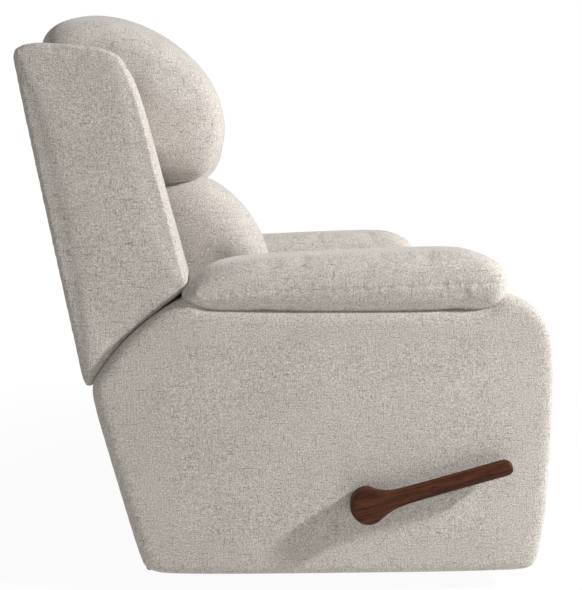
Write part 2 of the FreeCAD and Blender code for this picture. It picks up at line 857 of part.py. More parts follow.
def hinge_bolt_places():
    """Bolts of the hinge plate, near its front end."""
    pitch = hinge_plate_half
    return [
        (hinge_plate_front_x - pitch, back_pivot_z + pitch / 2),
        (hinge_plate_front_x - pitch * 3, back_pivot_z - pitch / 4),
    ]


def pivot_pin():
    """Shouldered pin of the back's pivot, headed on the inside."""
    inner = pivot_head_thick - back_frame_half
    shank = cross_rod(back_pivot_x, back_pivot_z, pivot_radius, -plate_outer_y, -back_frame_half + seat_gap)
    head = cross_rod(back_pivot_x, back_pivot_z, pivot_radius * 1.7, -back_frame_half + seat_gap, inner)
    return shank.fuse(head)


def bolt_group(places):
    """Hexagon-headed bolts through a plate and the arm's inner board."""
    bolts = []
    head_face = plate_thick - plate_outer_y
    deep = pocket_y_outer() + arm_frame_gap
    for x, z in places:
        shank = cross_rod(x, z, bolt_radius, deep, head_face)
        rim = []
        for corner in range(7):
            angle = corner * math.pi / 3
            rim.append(Vector(x + bolt_head_radius * math.cos(angle), head_face,
                              z + bolt_head_radius * math.sin(angle)))
        head = Part.Face(Part.makePolygon(rim)).extrude(Vector(0, bolt_head_thick, 0))
        bolts.append(shank.fuse(head))
    return Part.makeCompound(bolts)


def seat_slide_share():
    """Rise of the seat for each millimetre that it glides forward."""
    return math.tan(math.radians(drive_start_deg + recline_deg / 2))


def seat_frame():
    """Wooden frame under the seat cushion."""
    high = seat_frame_z + seat_frame_height
    outer = block(seat_rear_x, seat_frame_front_x, -seat_frame_half, seat_frame_half, seat_frame_z, high)
    inner = block(seat_rear_x + seat_frame_member, seat_frame_front_x - seat_frame_member,
                  seat_frame_member - seat_frame_half, seat_frame_half - seat_frame_member,
                  seat_frame_z - overrun, high + overrun)
    return outer.cut(inner)


def seat_spring(y_middle):
    """One zigzag seat spring from the rear rail to the front rail, bent in one plane."""
    z = seat_frame_z + seat_frame_height + soft_gap / 2
    start_x = seat_rear_x + seat_frame_member / 2
    end_x = seat_frame_front_x - seat_frame_member / 2
    bend = (end_x - start_x) / seat_spring_loops / 2
    at = Vector(start_x, y_middle, z)
    points = [at]
    side = 1
    leg = seat_spring_swing / 2
    for _ in range(seat_spring_loops):
        top = at + Vector(0, side * leg, 0)
        for step in range(seat_bend_steps + 1):
            angle = math.pi * step / seat_bend_steps
            points.append(top + Vector(bend * (1 - math.cos(angle)), side * bend * math.sin(angle), 0))
        at = top + Vector(bend * 2, 0, 0)
        side = -side
        leg = seat_spring_swing
    points.append(at + Vector(0, side * seat_spring_swing / 2, 0))
    return strip_face(points, seat_wire).extrude(Vector(0, 0, seat_wire * 2))


def strip_face(points, half_width):
    """Flat strip of even width along a level line of straight runs, with mitred joints."""
    left = []
    right = []
    for index, here in enumerate(points):
        before = here - points[max(index - 1, 0)]
        after = points[min(index + 1, len(points) - 1)] - here
        run = before if after.Length == 0 else after
        back = run if before.Length == 0 else before
        middle = back.normalize() + run.normalize()
        middle.normalize()
        square = Vector(-middle.y, middle.x, 0)
        miter = half_width / square.dot(Vector(-run.y, run.x, 0))
        left.append(here + square * miter)
        right.append(here - square * miter)
    ring = left + right[::-1]
    return Part.Face(Part.makePolygon(ring + ring[:1]))


def seat_springs():
    """The row of zigzag springs across the seat frame."""
    gap = 2 * (seat_frame_half - seat_frame_member) / seat_spring_count
    first = -gap * (seat_spring_count - 1) / 2
    springs = [seat_spring(first + index * gap) for index in range(seat_spring_count)]
    return Part.makeCompound(springs)


def seat_cushion():
    """Seat cushion with a crowned top and a front that laps over the seat frame."""
    low = seat_frame_z + seat_frame_height + seat_wire * 2 + soft_gap
    lip = seat_frame_front_x + soft_gap * 4
    corners = [
        (seat_rear_x, low, back_round),
        (lip, low, seat_gap),
        (lip, seat_frame_z, back_round),
        (seat_front_x, seat_frame_z, back_round * 2),
        (seat_front_x, seat_top_z, back_round * 5),
        (seat_rear_x, seat_top_z - back_round, back_round * 2),
    ]
    middle = (seat_rear_x + seat_front_x) / 2
    half = seat_half_width
    right = edge_stations(-half, 1, back_round, back_round, seat_edge_shares)
    left = edge_stations(half, -1, back_round, back_round, seat_edge_shares)
    cushion = padded_slab(corners, right + left[::-1], (middle, low))
    for y_low, y_high in ((-half - overrun, -seat_lip_half), (seat_lip_half, half + overrun)):
        cushion = cushion.cut(block(seat_frame_front_x - overrun, seat_front_x + overrun,
                                    y_low, y_high, seat_frame_z - overrun, low))
    return cushion


def layer_y(level):
    """Outer face of one layer of the linkage, counted inwards from the mechanism plate."""
    return -plate_outer_y + plate_thick + seat_gap + (level - 1) * link_pitch


def link_bar(points, level, holes, width):
    """Flat steel link along its pivot points, with rounded ends and bored pivots."""
    outer = layer_y(level)
    bar = None
    for start, end in zip(points[:-1], points[1:]):
        run = Vector(end[0] - start[0], 0, end[1] - start[1])
        length = run.Length
        angle = math.degrees(math.atan2(run.z, run.x))
        straight = Part.makeBox(length, link_thick, width, Vector(0, outer, -width / 2))
        straight.rotate(Vector(0, 0, 0), Vector(0, 1, 0), -angle)
        straight.translate(Vector(start[0], 0, start[1]))
        piece = straight
        for x, z in (start, end):
            piece = piece.fuse(cross_rod(x, z, width / 2, outer, outer + link_thick))
        bar = piece if bar is None else bar.fuse(piece)
    for (x, z), radius in holes:
        bar = bar.cut(cross_rod(x, z, radius, outer - overrun, outer + link_thick + overrun))
    return bar.removeSplitter()


def rivet(place, low_level, high_level):
    """Rivet from one layer to another, with a flat head beyond the far layer."""
    x, z = place
    low = layer_y(low_level) + link_thick
    high = layer_y(high_level) + link_thick + seat_gap
    shank = cross_rod(x, z, rivet_radius, low, high)
    head = cross_rod(x, z, rivet_head_radius, high, high + rivet_head_thick)
    return shank.fuse(head)


def mechanism_plate():
    """Steel side plate that carries the leg rest links and the drive shaft."""
    corners = [
        (handle_x - plate_margin * 1.4, handle_z - plate_margin * 1.4, plate_margin),
        (handle_x + plate_margin * 1.6, handle_z - plate_margin * 1.4, plate_margin),
        (link_p2[0] + plate_margin * 2.4, link_p1[1] - plate_margin * 2.2, plate_margin),
        (link_p1[0] + plate_margin * 1.6, link_p1[1] + plate_margin * 0.6, plate_margin * 0.5),
        (guide_rear_x, link_p1[1] + plate_margin * 0.6, plate_margin * 0.5),
        (guide_rear_x, guide_z(guide_rear_x) - plate_margin * 1.2, plate_margin * 0.5),
        (handle_x - plate_margin * 1.4, guide_z(guide_rear_x) - plate_margin * 1.6, plate_margin),
    ]
    plate = slab(corners, -plate_outer_y, plate_thick - plate_outer_y)
    for x, z in plate_bolt_places():
        plate = plate.cut(cross_rod(x, z, bolt_radius, *plate_cut_y()))
    plate = plate.cut(cross_rod(handle_x, handle_z, shaft_radius + bushing_wall, *plate_cut_y()))
    for place in (link_p1, link_p2):
        plate = plate.cut(cross_rod(place[0], place[1], rivet_radius, *plate_cut_y()))
    return plate


def plate_bolt_places():
    """Bolts that hold the mechanism plate to the arm frame."""
    return [
        (guide_rear_x + plate_margin, guide_z(guide_rear_x) - plate_margin * 0.65),
        (handle_x - plate_margin * 0.2, guide_z(handle_x) - plate_margin * 1.6),
        (handle_x + plate_margin * 1.2, handle_z - plate_margin * 0.5),
        (link_p2[0] - plate_margin * 1.6, link_p1[1] + plate_margin * 0.1),
    ]


def fixed_rivets():
    """Rivets of the mechanism plate for links A and B."""
    shapes = []
    for place, level in ((link_p1, 1), (link_p2, 3)):
        x, z = place
        high = layer_y(level) + link_thick + seat_gap
        shank = cross_rod(x, z, rivet_radius, -plate_outer_y, high)
        head = cross_rod(x, z, rivet_head_radius, high, high + rivet_head_thick)
        shape = shank.fuse(head)
        if level > 1:
            spacer = cross_rod(x, z, rivet_radius + spacer_wall, plate_thick - plate_outer_y,
                               layer_y(level) - seat_gap)
            shape = shape.fuse(spacer)
        shapes.append(shape)
    return Part.makeCompound(shapes)


def shaft_bushing():
    """Nylon bushing of the drive shaft in the mechanism plate."""
    outer = -plate_outer_y
    inner = plate_thick - plate_outer_y + bushing_flange
    tube = cross_rod(handle_x, handle_z, shaft_radius + bushing_wall, outer, inner - bushing_flange)
    flange = cross_rod(handle_x, handle_z, shaft_radius + bushing_wall * 2.5, inner - bushing_flange, inner)
    bore = cross_rod(handle_x, handle_z, shaft_radius + running_gap, outer - overrun, inner + overrun)
    return tube.fuse(flange).cut(bore)


def link_a():
    """Long link from the plate to the lower knee, with the drive pin of the crank link."""
    holes = [(link_p1, rivet_radius + running_gap)]
    bar = link_bar([link_p1, link_k1], 1, holes, link_width)
    return bar.fuse(rivet(link_k1, 1, 2)).fuse(drive_pin())


def drive_pin():
    """Pin on link A where the crank link pulls."""
    x, z = drive_point()
    return cross_rod(x, z, rivet_radius, layer_y(1) + link_thick, layer_y(2) + link_thick)


def drive_point():
    """Point of link A level with the crank, at the crank's own length from the pivot."""
    run_x = link_k1[0] - link_p1[0]
    run_z = link_k1[1] - link_p1[1]
    share = crank_length / math.hypot(run_x, run_z)
    return (link_p1[0] + run_x * share, link_p1[1] + run_z * share)


def crank_point():
    """End of the crank on the drive shaft, parallel to link A."""
    x, z = drive_point()
    return (handle_x + x - link_p1[0], handle_z + z - link_p1[1])


def link_b():
    """Second link from the plate, reaching past the crossing to the upper knee."""
    holes = [(link_p2, rivet_radius + running_gap), (link_k2, rivet_radius + open_pivot_gap)]
    bar = link_bar([link_p2, link_k2, link_k3], 3, holes, link_width)
    return bar.fuse(rivet(link_k3, 3, 4))


def link_c():
    """Link from the lower knee past the crossing to the footrest bracket."""
    holes = [(link_k1, rivet_radius + running_gap)]
    bar = link_bar([link_k1, link_k2, footrest_s1()], 2, holes, link_width)
    bar = bar.fuse(rivet(link_k2, 2, 3))
    spacer = cross_rod(footrest_s1()[0], footrest_s1()[1], rivet_radius + spacer_wall / 2,
                       layer_y(2) + link_thick, layer_y(5) - seat_gap)
    return bar.fuse(spacer).fuse(rivet(footrest_s1(), 2, 5))


def link_d():
    """Link from the upper knee to the footrest bracket."""
    holes = [(link_k3, rivet_radius + running_gap)]
    bar = link_bar([link_k3, footrest_s2()], 4, holes, link_width)
    return bar.fuse(rivet(footrest_s2(), 4, 5))


def footrest_s1():
    """Lower pivot of the footrest bracket."""
    return (footrest_pivot_x, footrest_s1_z)


def footrest_s2():
    """Upper pivot of the footrest bracket."""
    return (footrest_pivot_x, footrest_s2_z)


def footrest_bracket():
    """Steel angle behind the footrest board, pivoted on links C and D."""
    outer = layer_y(5)
    rear = footrest_pivot_x - link_width / 2
    board = footrest_board_x
    low = footrest_s1_z - link_width
    high = footrest_s2_z + link_width
    corners = [
        (rear, low + link_width / 2, link_width / 4),
        (board - link_width / 2, low, link_width / 8),
        (board, low, seat_gap),
        (board, high, seat_gap),
        (board - link_width / 2, high, link_width / 8),
        (rear, high - link_width / 2, link_width / 4),
    ]
    web = slab(corners, outer, outer + link_thick)
    flange = block(board - link_thick, board, outer, outer + link_width, low, high)
    bracket = web.fuse(flange)
    bracket = bracket.cut(cross_rod(footrest_pivot_x, footrest_s1_z, rivet_radius + running_gap,
                                    outer - overrun, outer + link_thick + overrun))
    bracket = bracket.cut(cross_rod(footrest_pivot_x, footrest_s2_z, rivet_radius + open_pivot_gap,
                                    outer - overrun, outer + link_thick + overrun))
    return bracket


def footrest_board():
    """Plywood board of the footrest, with rounded corners."""
    board = block(footrest_board_x, footrest_board_x + footrest_board_thick,
                  -footrest_half, footrest_half, footrest_low_z, footrest_high_z)
    corners = [edge for edge in board.Edges if abs(edge.tangentAt(0).x) > edge_along_share]
    return board.makeFillet(back_round, corners)


def footrest_cushion():
    """Padded front of the footrest."""
    rear = footrest_board_x + footrest_board_thick
    low = footrest_low_z - footrest_wrap
    high = footrest_high_z + footrest_wrap
    corners = [
        (rear, low, back_round / 2),
        (rear + footrest_pad, low, back_round * 2),
        (rear + footrest_pad, high, back_round * 2),
        (rear, high, back_round / 2),
    ]
    half = footrest_half + footrest_wrap
    right = edge_stations(-half, 1, back_round, back_round, footrest_edge_shares)
    left = edge_stations(half, -1, back_round, back_round, footrest_edge_shares)
    return padded_slab(corners, right + left[::-1], (rear, (low + high) / 2))


def drive_shaft():
    """Steel shaft from the handle through the right arm to the left plate, with a crank on each side."""
    right_end = -handle_inner_y - boss_thick * boss_socket_share
    shaft = cross_rod(handle_x, handle_z, shaft_radius, right_end, plate_outer_y)
    x, z = crank_point()
    crank = crank_bar(layer_y(3)).fuse(cross_rod(x, z, rivet_radius, layer_y(2), layer_y(3)))
    return shaft.fuse(crank).fuse(mirrored(crank))


def crank_bar(outer):
    """Crank arm welded to the shaft."""
    x, z = crank_point()
    run = Vector(x - handle_x, 0, z - handle_z)
    angle = math.degrees(math.atan2(run.z, run.x))
    bar = Part.makeBox(run.Length, link_thick, link_width, Vector(0, outer, -link_width / 2))
    bar.rotate(Vector(0, 0, 0), Vector(0, 1, 0), -angle)
    bar.translate(Vector(handle_x, 0, handle_z))
    bar = bar.fuse(cross_rod(handle_x, handle_z, shaft_radius + spacer_wall, outer, outer + link_thick))
    return bar.fuse(cross_rod(x, z, link_width / 2, outer, outer + link_thick))


def crank_link():
    """Straight link from the crank to link A, on both sides parallel to the line of the pivots."""
    x0, z0 = crank_point()
    x1, z1 = drive_point()
    holes = [((x0, z0), rivet_radius + running_gap), ((x1, z1), rivet_radius + open_drive_gap)]
    return link_bar([(x0, z0), (x1, z1)], 2, holes, link_width * 0.8)


def handle_lever():
    """Wooden handle: a round boss with a slightly dished face, a softened rim and a flat tapering lever."""
    outer = -handle_inner_y - boss_thick
    profile = [(0, -handle_inner_y)]
    for radius_share, depth_share in boss_shares:
        profile.append((boss_radius * radius_share, outer + boss_thick * depth_share))
    profile.append((0, outer + boss_dish))
    points = [Vector(handle_x + radius, y, handle_z) for radius, y in profile]
    face = Part.Face(Part.makePolygon(points + points[:1]))
    boss = face.revolve(Vector(handle_x, 0, handle_z), Vector(0, 1, 0), 360)
    lever = handle_grip()
    lever.rotate(Vector(handle_x, 0, handle_z), Vector(0, 1, 0), -handle_rise_deg)
    socket_depth = boss_thick * boss_socket_share
    socket = cross_rod(handle_x, handle_z, shaft_radius, -handle_inner_y - socket_depth,
                       overrun - handle_inner_y)
    screw_foot = Vector(handle_x, handle_screw_y(), handle_z - boss_radius)
    screw = Part.makeCylinder(screw_radius, boss_radius, screw_foot)
    return boss.fuse(lever).cut(socket).cut(screw)


def handle_grip():
    """The lever along +X from the boss: a flaring neck, then a nearly even blade with a rounded end."""
    middle_y = -handle_inner_y - boss_thick / 2
    wires = []
    for share, width_share, thick_share in handle_shares:
        half_wide = handle_width / 2 * width_share
        half_thick = lever_thick / 2 * thick_share
        wires.append(oval_section(handle_x + handle_length * share, middle_y, half_thick, half_wide))
    return Part.makeLoft(wires, True, True)


def oval_section(x, y, half_y, half_z):
    """Rounded section of the lever across X, as a ring of short flats."""
    points = []
    for index in range(lever_flats + 1):
        angle = (index + 0.5) * 2 * math.pi / lever_flats
        across = math.copysign(abs(math.cos(angle)) ** lever_squareness, math.cos(angle))
        height = math.copysign(abs(math.sin(angle)) ** lever_squareness, math.sin(angle))
        points.append(Vector(x, y + half_y * across, handle_z + half_z * height))
    return Part.makePolygon(points)


def handle_screw_y():
    """Where the grub screw sits across the boss."""
    return -handle_inner_y - boss_thick * boss_screw_share


def handle_screw():
    """Grub screw in the underside of the boss, which grips the shaft."""
    low = handle_z - boss_radius + screw_depth
    high = handle_z - shaft_radius
    return Part.makeCylinder(screw_radius - running_gap, high - low, Vector(handle_x, handle_screw_y(), low))


def guide_z(x):
    """Middle line of the seat guide at x, on the slope that the seat glides along."""
    return guide_middle_z + (x - guide_rear_x) * seat_slide_share()


def sloped_box(x_low, x_high, y_low, y_high, half_height):
    """Box between two x values along the slope of the seat guide."""
    share = seat_slide_share()
    angle = math.degrees(math.atan(share))
    length = (x_high - x_low) / math.cos(math.radians(angle))
    box = Part.makeBox(length, y_high - y_low, half_height * 2, Vector(0, y_low, -half_height))
    box.rotate(Vector(0, 0, 0), Vector(0, 1, 0), -angle)
    box.translate(Vector(x_low, 0, guide_z(x_low)))
    return box


def seat_guide():
    """Steel channel on the mechanism plate in which the seat's sliders run."""
    outer = plate_thick - plate_outer_y
    inner = -seat_frame_half - guide_open_gap
    channel = sloped_box(guide_rear_x, guide_front_x, outer, inner, guide_half)
    hollow = sloped_box(guide_rear_x - overrun, guide_front_x + overrun, outer + guide_wall, inner + overrun,
                        guide_half - guide_wall)
    return channel.cut(hollow)


def seat_slider(x_low):
    """Nylon slider block with its stud on the seat frame."""
    outer = plate_thick - plate_outer_y + guide_wall + seat_gap
    inner = -seat_frame_half - guide_open_gap - seat_gap
    return sloped_box(x_low, x_low + slider_length, outer, inner, guide_half - guide_wall - slider_gap)


def seat_sliders():
    """The two sliders of one side, each with a stud to the seat frame."""
    shapes = []
    for x_low in (guide_rear_x + seat_gap * 10, guide_rear_x + slider_spacing):
        middle = x_low + slider_length / 2
        stud = cross_rod(middle, guide_z(middle), slider_stud_radius,
                         -seat_frame_half - guide_open_gap - seat_gap, -seat_frame_half)
        shapes.append(seat_slider(x_low).fuse(stud))
    return Part.makeCompound(shapes)


def seat_drive_pin():
    """Pin on the side of the seat frame for the drive link from the back."""
    x, z = seat_drive_place()
    end = seat_drive_link_y() - rivet_head_thick
    return cross_rod(x, z, rivet_radius, end, -seat_frame_half)


def seat_drive_link_y():
    """Outer face of the drive link, outside the bracket of the back."""
    return -back_frame_half - plate_thick - drive_link_gap - link_thick


def seat_drive_place():
    """Where the drive link holds the seat frame."""
    return (seat_rear_x + seat_frame_member / 2, seat_frame_z + seat_frame_height / 2)


def seat_drive_link():
    """Link from the lug of the back bracket to the rear of the seat frame."""
    outer = seat_drive_link_y()
    x0, z0 = lug_place()
    x1, z1 = seat_drive_place()
    run = Vector(x1 - x0, 0, z1 - z0)
    angle = math.degrees(math.atan2(run.z, run.x))
    width = link_width * 1.3
    bar = Part.makeBox(run.Length, link_thick, width, Vector(0, outer, -width / 2))
    bar.rotate(Vector(0, 0, 0), Vector(0, 1, 0), -angle)
    bar.translate(Vector(x0, 0, z0))
    for x, z in ((x0, z0), (x1, z1)):
        bar = bar.fuse(cross_rod(x, z, width / 2, outer, outer + link_thick))
    across = (outer - overrun, outer + link_thick + overrun)
    bar = bar.cut(cross_rod(x0, z0, rivet_radius + running_gap, *across))
    return bar.cut(cross_rod(x1, z1, rivet_radius + open_seat_gap, *across))


def main():
    """Build every piece and write it under its own name."""
    save_pair("base_side_rail", base_side_rail())
    front_rail, rear_rail = base_cross_rails()
    save("base_cross_rails", Part.makeCompound([front_rail, rear_rail]))
    save("base_centre_board", base_centre_board())
    save_both("wear_strips", wear_strip())
    save_both("spring_lower_seats", spring_lower_seat())
    save_both("rocker_springs", rocker_springs())
    save_pair("rocker_cam", rocker_cam())
    save("seat_rails", Part.makeCompound([seat_rail(seat_rail_x), seat_rail(-seat_rail_x)]))
    save_both("spring_upper_seats", spring_upper_seat())
    save_pair("arm_cover", arm_cover())
    save_pair("arm_frame", arm_frame())
    save_pair("arm_pad", arm_pad())
    save_pair("mechanism_plate", mechanism_plate())
    save_both("plate_bolts", bolt_group(plate_bolt_places() + hinge_bolt_places()))
    save_both("link_rivets", fixed_rivets())
    save_both("shaft_bushings", shaft_bushing())
    save_pair("hinge_plate", hinge_plate())
    save_both("pivot_pins", pivot_pin())
    save_pair("seat_guide", seat_guide())
    save_pair("link_a", link_a())
    save_pair("link_b", link_b())
    save_pair("link_c", link_c())
    save_pair("link_d", link_d())
    save_pair("crank_link", crank_link())
    save_pair("footrest_bracket", footrest_bracket())
    save("footrest_board", footrest_board())
    save("footrest_cushion", footrest_cushion())
    save("drive_shaft", drive_shaft())
    save("wooden_handle", handle_lever())
    save("handle_screw", handle_screw())
    save("seat_frame", seat_frame().fuse(seat_drive_pin()).fuse(mirrored(seat_drive_pin())))
    save_both("seat_sliders", seat_sliders())
    save("seat_springs", seat_springs())
    save("seat_cushion", seat_cushion())
    save_pair("seat_drive_link", seat_drive_link())
    save("back_frame", back_frame())
    save("back_cover", back_cover())
    save_pair("back_wing", wing())
    save_pair("back_bracket", back_bracket())
    save("headrest_pillow", headrest_pillow())
    save("lumbar_pillow", lumbar_pillow())


main()
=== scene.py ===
# %% [markdown]
# # Rocker recliner
# The chair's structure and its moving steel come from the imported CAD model, which is loaded as a fixed
# frame. This lesson dresses it: every cushion and covered panel is built here as a soft form, the wooden
# handle is shaped as it is turned, and every piece gets the finish that the real one has. Lengths are in
# millimetres until they become mesh points, which are metres. x runs to the chair's front, y to its left
# and z up.

# %% Load the frame
import bpy
import bmesh
import itertools
import json
import math
from mathutils import Matrix, Vector
from mathutils.bvhtree import BVHTree
from mathutils.kdtree import KDTree


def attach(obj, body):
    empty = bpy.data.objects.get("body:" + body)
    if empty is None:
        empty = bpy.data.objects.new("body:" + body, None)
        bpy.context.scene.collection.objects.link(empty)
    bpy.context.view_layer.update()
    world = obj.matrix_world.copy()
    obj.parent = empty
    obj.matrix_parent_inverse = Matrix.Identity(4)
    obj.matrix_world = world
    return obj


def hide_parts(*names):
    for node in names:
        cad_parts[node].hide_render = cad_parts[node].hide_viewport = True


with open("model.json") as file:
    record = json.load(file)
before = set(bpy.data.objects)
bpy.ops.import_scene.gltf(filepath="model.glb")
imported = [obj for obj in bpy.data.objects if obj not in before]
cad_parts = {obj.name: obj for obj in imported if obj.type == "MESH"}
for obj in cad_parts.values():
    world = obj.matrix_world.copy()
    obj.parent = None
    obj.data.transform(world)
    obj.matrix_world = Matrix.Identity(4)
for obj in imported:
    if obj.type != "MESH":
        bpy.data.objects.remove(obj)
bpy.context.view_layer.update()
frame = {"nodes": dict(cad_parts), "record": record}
nodes = frame["nodes"]
scene = bpy.context.scene


# %% [markdown]
# ## Colour and node helpers
# A colour picked on a screen is sRGB, and a shader wants it linear, so one function turns a hex value over.
# A material is a graph of nodes. One small function adds a node, sets it and links it, and every material
# uses it. A node's inputs can be named by their place as well: a Mix node has a pair for each kind of data,
# 4 and 5 for vectors and 6 and 7 for colours, and its factor is 0.

# %% Helpers for materials
def linear(hex_colour):
    """Linear RGBA of an sRGB hex value such as #C8C0B8."""
    values = [int(hex_colour[place:place + 2], 16) / 255 for place in (1, 3, 5)]
    rgb = [v / 12.92 if v <= 0.04045 else ((v + 0.055) / 1.055) ** 2.4 for v in values]
    return (*rgb, 1.0)


def add(tree, kind, inputs=None, **settings):
    """Adds a node with its settings, and links or sets each of its inputs."""
    made = tree.nodes.new(kind)
    for key, value in settings.items():
        setattr(made, key, value)
    for key, value in (inputs or {}).items():
        if isinstance(value, bpy.types.NodeSocket):
            tree.links.new(value, made.inputs[key])
        else:
            made.inputs[key].default_value = value
    return made


def ramp(tree, factor, stops):
    """A colour ramp through (place, hex) stops."""
    made = add(tree, "ShaderNodeValToRGB", {0: factor})
    elements = made.color_ramp.elements
    while len(elements) < len(stops):
        elements.new(0.5)
    for element, (place, colour) in zip(elements, stops):
        element.position = place
        element.color = linear(colour)
    return made.outputs[0]


def finish_material(name, **shader):
    """A material with an empty tree, its shader and its output, for a finish to fill in."""
    material = bpy.data.materials.new(name)
    material.use_nodes = True
    tree = material.node_tree
    tree.nodes.clear()
    surface = add(tree, "ShaderNodeBsdfPrincipled", shader)
    add(tree, "ShaderNodeOutputMaterial", {"Surface": surface.outputs[0]})
    return material, tree, surface


def blend(tree, factor, low, high, mode="MIX"):
    """Mixes two colours."""
    made = add(tree, "ShaderNodeMix", {0: factor, 6: low, 7: high}, data_type="RGBA", blend_type=mode)
    return made.outputs[2]


def emboss(tree, surface, height, strength, depth_mm):
    """Gives the shader a relief from a height, without moving the mesh."""
    bump = add(tree, "ShaderNodeBump", {"Height": height, "Strength": strength, "Distance": depth_mm / 1000})
    tree.links.new(bump.outputs[0], surface.inputs["Normal"])


print("material helpers ready")


# %% [markdown]
# ## The cover fabric
# The cover is a woven polyester tweed: a warm grey yarn of uneven thickness, with darker and lighter slubs
# that run along the threads both ways. Woven cloth has no gloss, and its stray fibres catch the light at a
# grazing angle, which is the Sheen. A picture of cloth could be wrapped round each panel, but a remeshed
# cushion has no UVs to hang it on, so the weave is worked out from where a point is. The threads must lie
# in each panel, and a panel may face any way, so the material first finds the plane that the surface faces.
# The real threads are about 1.2 mm apart, finer than a pixel of the picture, so they are drawn at 2.4 mm.

# %% Lay the threads in the panel
thread_mm = 2.4
slub_long_mm = 26.0
mottle_mm = 70.0


def facing_plane(tree):
    """Two thread coordinates in metres, lying in the plane that the surface faces."""
    place = add(tree, "ShaderNodeTexCoord")
    position = add(tree, "ShaderNodeSeparateXYZ", {0: place.outputs["Object"]}).outputs
    facing = add(tree, "ShaderNodeSeparateXYZ", {0: place.outputs["Normal"]}).outputs
    size = [add(tree, "ShaderNodeMath", {0: part}, operation="ABSOLUTE").outputs[0] for part in facing]
    side = add(tree, "ShaderNodeCombineXYZ", {0: position[0], 1: position[2], 2: position[1]}).outputs[0]
    front = add(tree, "ShaderNodeCombineXYZ", {0: position[1], 1: position[2], 2: position[0]}).outputs[0]
    top = add(tree, "ShaderNodeCombineXYZ", {0: position[1], 1: position[0], 2: position[2]}).outputs[0]
    is_top = add(tree, "ShaderNodeMath", {0: size[2], 1: size[0]}, operation="GREATER_THAN").outputs[0]
    across = add(tree, "ShaderNodeMix", {0: is_top, 4: front, 5: top}, data_type="VECTOR").outputs[1]
    most = add(tree, "ShaderNodeMath", {0: size[0], 1: size[2]}, operation="MAXIMUM").outputs[0]
    is_side = add(tree, "ShaderNodeMath", {0: size[1], 1: most}, operation="GREATER_THAN").outputs[0]
    return add(tree, "ShaderNodeMix", {0: is_side, 4: across, 5: side}, data_type="VECTOR").outputs[1]


def streaks(tree, plane, along_mm, across_mm, turned):
    """Noise drawn out along one thread direction."""
    layers_per_metre = 20.0
    steps = (1000 / along_mm, 1000 / across_mm, layers_per_metre)
    if turned:
        steps = (steps[1], steps[0], steps[2])
    drawn = add(tree, "ShaderNodeVectorMath", {0: plane, 1: steps}, operation="MULTIPLY").outputs[0]
    return add(tree, "ShaderNodeTexNoise", {"Vector": drawn, "Scale": 1.0, "Detail": 2.0}).outputs[0]


print("threads", thread_mm, "mm apart, slubs", slub_long_mm, "mm long")


# %% Make the tweed
def make_tweed():
    """Woven tweed with slubs both ways."""
    material, tree, surface = finish_material("woven_tweed_warm_grey", **{
        "Roughness": 0.92, "Sheen Weight": 0.25, "Sheen Roughness": 0.55, "Specular IOR Level": 0.22})
    plane = facing_plane(tree)
    weft = streaks(tree, plane, slub_long_mm, thread_mm, False)
    warp = streaks(tree, plane, slub_long_mm * 0.7, thread_mm, True)
    grain = add(tree, "ShaderNodeTexNoise", {
        "Vector": plane, "Scale": 1000 / thread_mm, "Detail": 2.0, "Roughness": 0.6}).outputs[0]
    mottle = add(tree, "ShaderNodeTexNoise", {
        "Vector": plane, "Scale": 1000 / mottle_mm, "Detail": 2.0}).outputs[0]
    yarn = ramp(tree, grain, [(0.30, "#948D87"), (0.44, "#B8B2AC"), (0.56, "#C8C2BC"), (0.70, "#E1DCD6")])
    dark_weft = ramp(tree, weft, [(0.27, "#968E87"), (0.39, "#FFFFFF")])
    dark_warp = ramp(tree, warp, [(0.27, "#9A928B"), (0.39, "#FFFFFF")])
    light = ramp(tree, weft, [(0.60, "#000000"), (0.76, "#2C2A27")])
    soft = ramp(tree, mottle, [(0.3, "#F7F6F5"), (0.7, "#FFFFFF")])
    colour = blend(tree, 0.5, yarn, dark_weft, "MULTIPLY")
    colour = blend(tree, 0.5, colour, dark_warp, "MULTIPLY")
    colour = blend(tree, 0.5, colour, light, "ADD")
    colour = blend(tree, 1.0, colour, soft, "MULTIPLY")
    tree.links.new(colour, surface.inputs["Base Color"])
    raised = add(tree, "ShaderNodeMath", {0: weft, 1: warp}, operation="ADD").outputs[0]
    raised = add(tree, "ShaderNodeMath", {0: raised, 1: grain}, operation="ADD").outputs[0]
    emboss(tree, surface, raised, 0.35, 1.2)
    return material


tweed = make_tweed()
print("made", tweed.name)


# %% [markdown]
# ## Stained handle wood
# The handle is beech, stained red-brown and sprayed with a thin satin lacquer, which leaves a broad, weak
# shine over a dark body. Wood is noise drawn out along the grain: a slow one for the bands of stain, and a
# fine one for the pores, which hold more stain and stay a little open. The lever rises to the front, so the
# place is first turned back by that angle, and then the grain runs along the lever and not along the floor.

# %% Make the handle's wood
handle_rise_deg = 15.2
band_steps = (12, 170, 170)
pore_steps = (60, 900, 900)


